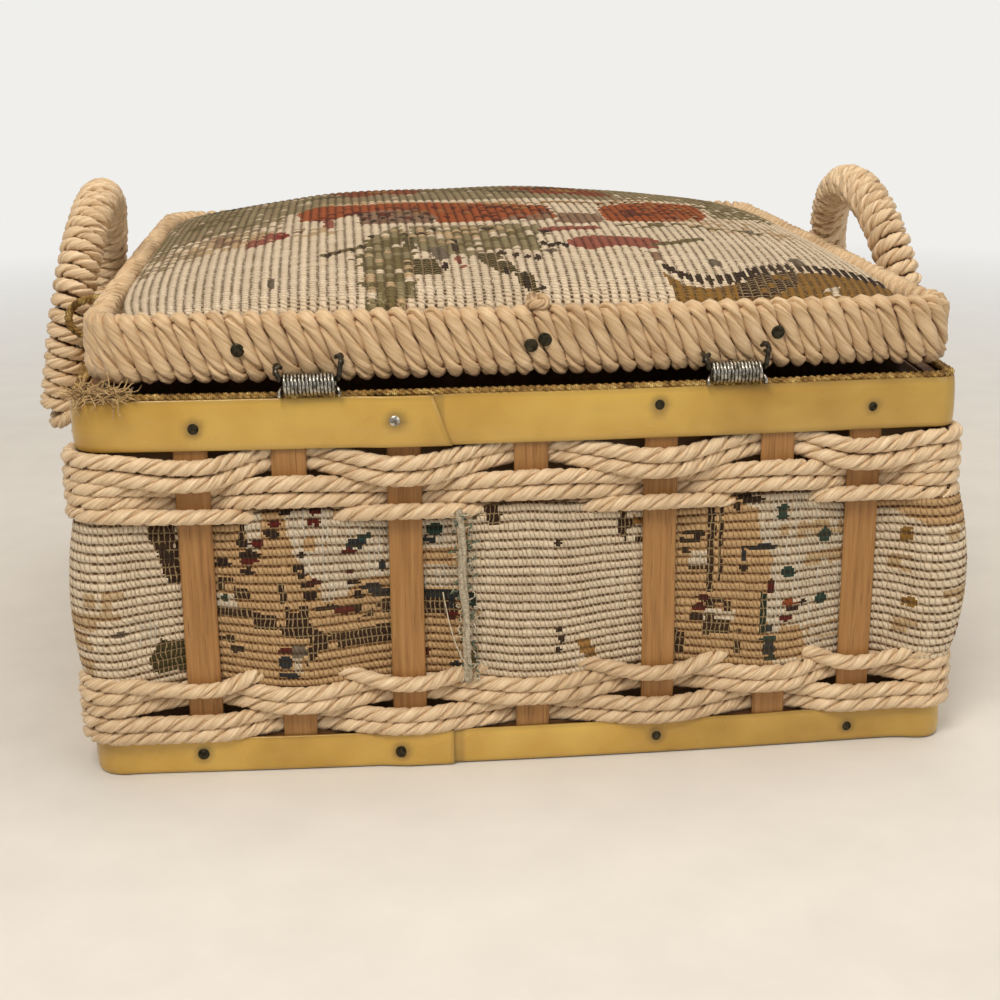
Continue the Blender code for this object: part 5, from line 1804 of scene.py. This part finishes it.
def thread_material(name, light, dark):
    shader = Shader(name, 0.8)
    u, v, _ = shader.split(shader.coordinate("UV"))
    twist = shader.math("SINE", shader.plus(shader.times(u, 9.0), shader.times(v, TAU)))
    fine = shader.noise(shader.coordinate(), 1200.0, 3.0)
    shader.colour(shader.mix(shader.span(fine, 0.3, 0.7), dark, light))
    shader.bump(shader.plus(twist, fine), 0.0001, 0.6)
    return shader.done(sheen_weight=0.3)


THREAD = thread_material("pale_thread", linear(232, 222, 200), linear(180, 162, 130))
STRAW = thread_material("frayed_straw", linear(214, 182, 124), linear(150, 116, 68))
FOLD = thread_material("folded_edge", linear(206, 194, 170), linear(140, 126, 102))
THREAD_GREEN = thread_material("green_thread", linear(104, 122, 92), linear(58, 78, 62))


def make_lump():
    """A knotted cord end that stands up from the rim near its middle."""
    turn = np.linspace(0, 3.2 * math.pi, 60)
    path = np.stack([
        4.3 + 2.6 * np.cos(turn) * np.linspace(1, 0.6, 60),
        -118.4 + 1.8 * np.sin(turn),
        np.linspace(130.4, 133.6, 60) + 0.4 * np.sin(2 * turn),
    ], 1)
    reference = steady_reference(path, (0, 0, 1))
    obj = twisted("rim_cord_knot", path, reference, 1.35, 6.0)
    place(obj, "lid", "rim_cord", RIM_PAPER)


def dress_kept_nodes():
    """Finer materials on the rigid pieces that keep their own shape."""
    for node, material in (
        ("base_board", CARD), ("lid_board", CARD), ("top_hoop", HOOP), ("bottom_hoop", HOOP),
    ):
        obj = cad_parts[node]
        obj.data.materials.clear()
        obj.data.materials.append(material)


# Camera, floor and lights

CAMERA_PLACE = (-47.67, -561.14, 209.38)
CAMERA_TURN = (5.32, 16.63, -0.52)
CAMERA_LENS, CAMERA_SENSOR = 59.68, 36.0


def make_camera():
    """The camera that was fitted to the photograph."""
    yaw, pitch, roll = (math.radians(angle) for angle in CAMERA_TURN)
    level = np.array([math.sin(yaw), math.cos(yaw), 0])
    forward = level * math.cos(pitch) - np.array([0, 0, math.sin(pitch)])
    right = np.array([math.cos(yaw), -math.sin(yaw), 0])
    up = np.cross(right, forward)
    right_rolled = right * math.cos(roll) + up * math.sin(roll)
    up_rolled = -right * math.sin(roll) + up * math.cos(roll)
    data = bpy.data.cameras.new("camera")
    data.sensor_width = CAMERA_SENSOR
    data.lens = CAMERA_LENS
    data.clip_start = 0.01
    data.clip_end = 30
    camera = bpy.data.objects.new("camera", data)
    matrix = np.eye(4)
    matrix[:3, 0], matrix[:3, 1], matrix[:3, 2] = right_rolled, up_rolled, -forward
    matrix[:3, 3] = np.array(CAMERA_PLACE) * MM
    camera.matrix_world = Matrix(matrix.tolist())
    bpy.context.scene.collection.objects.link(camera)
    bpy.context.scene.camera = camera


FLOOR_HALF = 3.0
WARM, SOFT = (1.0, 0.90, 0.78), (1.0, 0.94, 0.86)


def make_stage():
    """A pale floor, a pale backdrop and three soft lamps, in metres."""
    shader = Shader("pale_floor", 0.9, 0.0, 0.2)
    grain = shader.noise(shader.coordinate(), 40.0, 4.0)
    lit = shader.mix(shader.span(grain, 0.3, 0.7), linear(222, 220, 215), linear(228, 226, 221))
    shader.colour(lit)
    # the floor thins out far from the basket, so that no edge shows against the pale backdrop
    middle = shader.scaled(shader.coordinate(), (1, 1, 0))
    far = shader.node("ShaderNodeVectorMath", {0: middle}, operation="LENGTH")
    shader.feed(shader.surface.inputs["Alpha"], shader.span(far.outputs["Value"], 0.35, 1.0, 1.0, 0.0))
    size = FLOOR_HALF
    mesh = bpy.data.meshes.new("floor")
    corners = [(-size, -size, 0), (size, -size, 0), (size, size, 0), (-size, size, 0)]
    mesh.from_pydata(corners, [], [(0, 1, 2, 3)])
    floor = bpy.data.objects.new("floor", mesh)
    mesh.materials.append(shader.material)
    bpy.context.scene.collection.objects.link(floor)

    world = bpy.data.worlds.new("studio")
    world.use_nodes = True
    bpy.context.scene.world = world
    tree = world.node_tree
    back = tree.nodes["Background"]
    back.inputs["Color"].default_value = linear(236, 234, 230)
    back.inputs["Strength"].default_value = 0.42
    seen = tree.nodes.new("ShaderNodeBackground")
    seen.inputs["Color"].default_value = linear(240, 239, 236)
    seen.inputs["Strength"].default_value = 1.0
    path = tree.nodes.new("ShaderNodeLightPath")
    mixer = tree.nodes.new("ShaderNodeMixShader")
    tree.links.new(path.outputs["Is Camera Ray"], mixer.inputs[0])
    tree.links.new(back.outputs[0], mixer.inputs[1])
    tree.links.new(seen.outputs[0], mixer.inputs[2])
    tree.links.new(mixer.outputs[0], tree.nodes["World Output"].inputs[0])

    def lamp(name, place_at, target, size_x, size_y, power, colour):
        data = bpy.data.lights.new(name, "AREA")
        data.shape = "RECTANGLE"
        data.size, data.size_y = size_x, size_y
        data.energy = power
        data.color = colour
        obj = bpy.data.objects.new(name, data)
        direction = np.array(target) - np.array(place_at)
        obj.location = place_at
        obj.rotation_mode = "QUATERNION"
        obj.rotation_quaternion = Vector(direction).to_track_quat("-Z", "Y")
        bpy.context.scene.collection.objects.link(obj)

    lamp("key", (-0.35, -0.75, 1.05), (0, 0, 0.08), 0.5, 0.4, 8.6, WARM)
    lamp("top", (0.25, 0.10, 1.25), (0, 0, 0.1), 0.9, 0.9, 6.0, WARM)
    lamp("fill", (1.0, -0.9, 0.55), (0, 0, 0.06), 0.8, 0.8, 3.2, SOFT)
    bpy.context.scene.view_settings.view_transform = "Standard"


# All of it

make_camera()
make_stage()
make_slats()
make_cords()
strip = make_cloth_band()
make_handle("left_handle", -1, 0)
make_handle("right_handle", 1, 1)
make_rim()
make_rim_core()
make_rim_nails()
make_lump()
make_band("top_plastic_band", *TOP_BAND, TOP_LAP_X, TOP_LAP_SLANT, 650, "top_band", TOP_NAILS, 1)
make_band("bottom_plastic_band", *BOTTOM_BAND, BOTTOM_LAP_X, 0.0, 660, "bottom_band", BOTTOM_NAILS, -1)
make_pad()
make_braid()
make_loop()
make_springs()
make_lining()
make_lid_lining()
make_fray()
make_seam_fold()
make_seam_threads()
dress_kept_nodes()
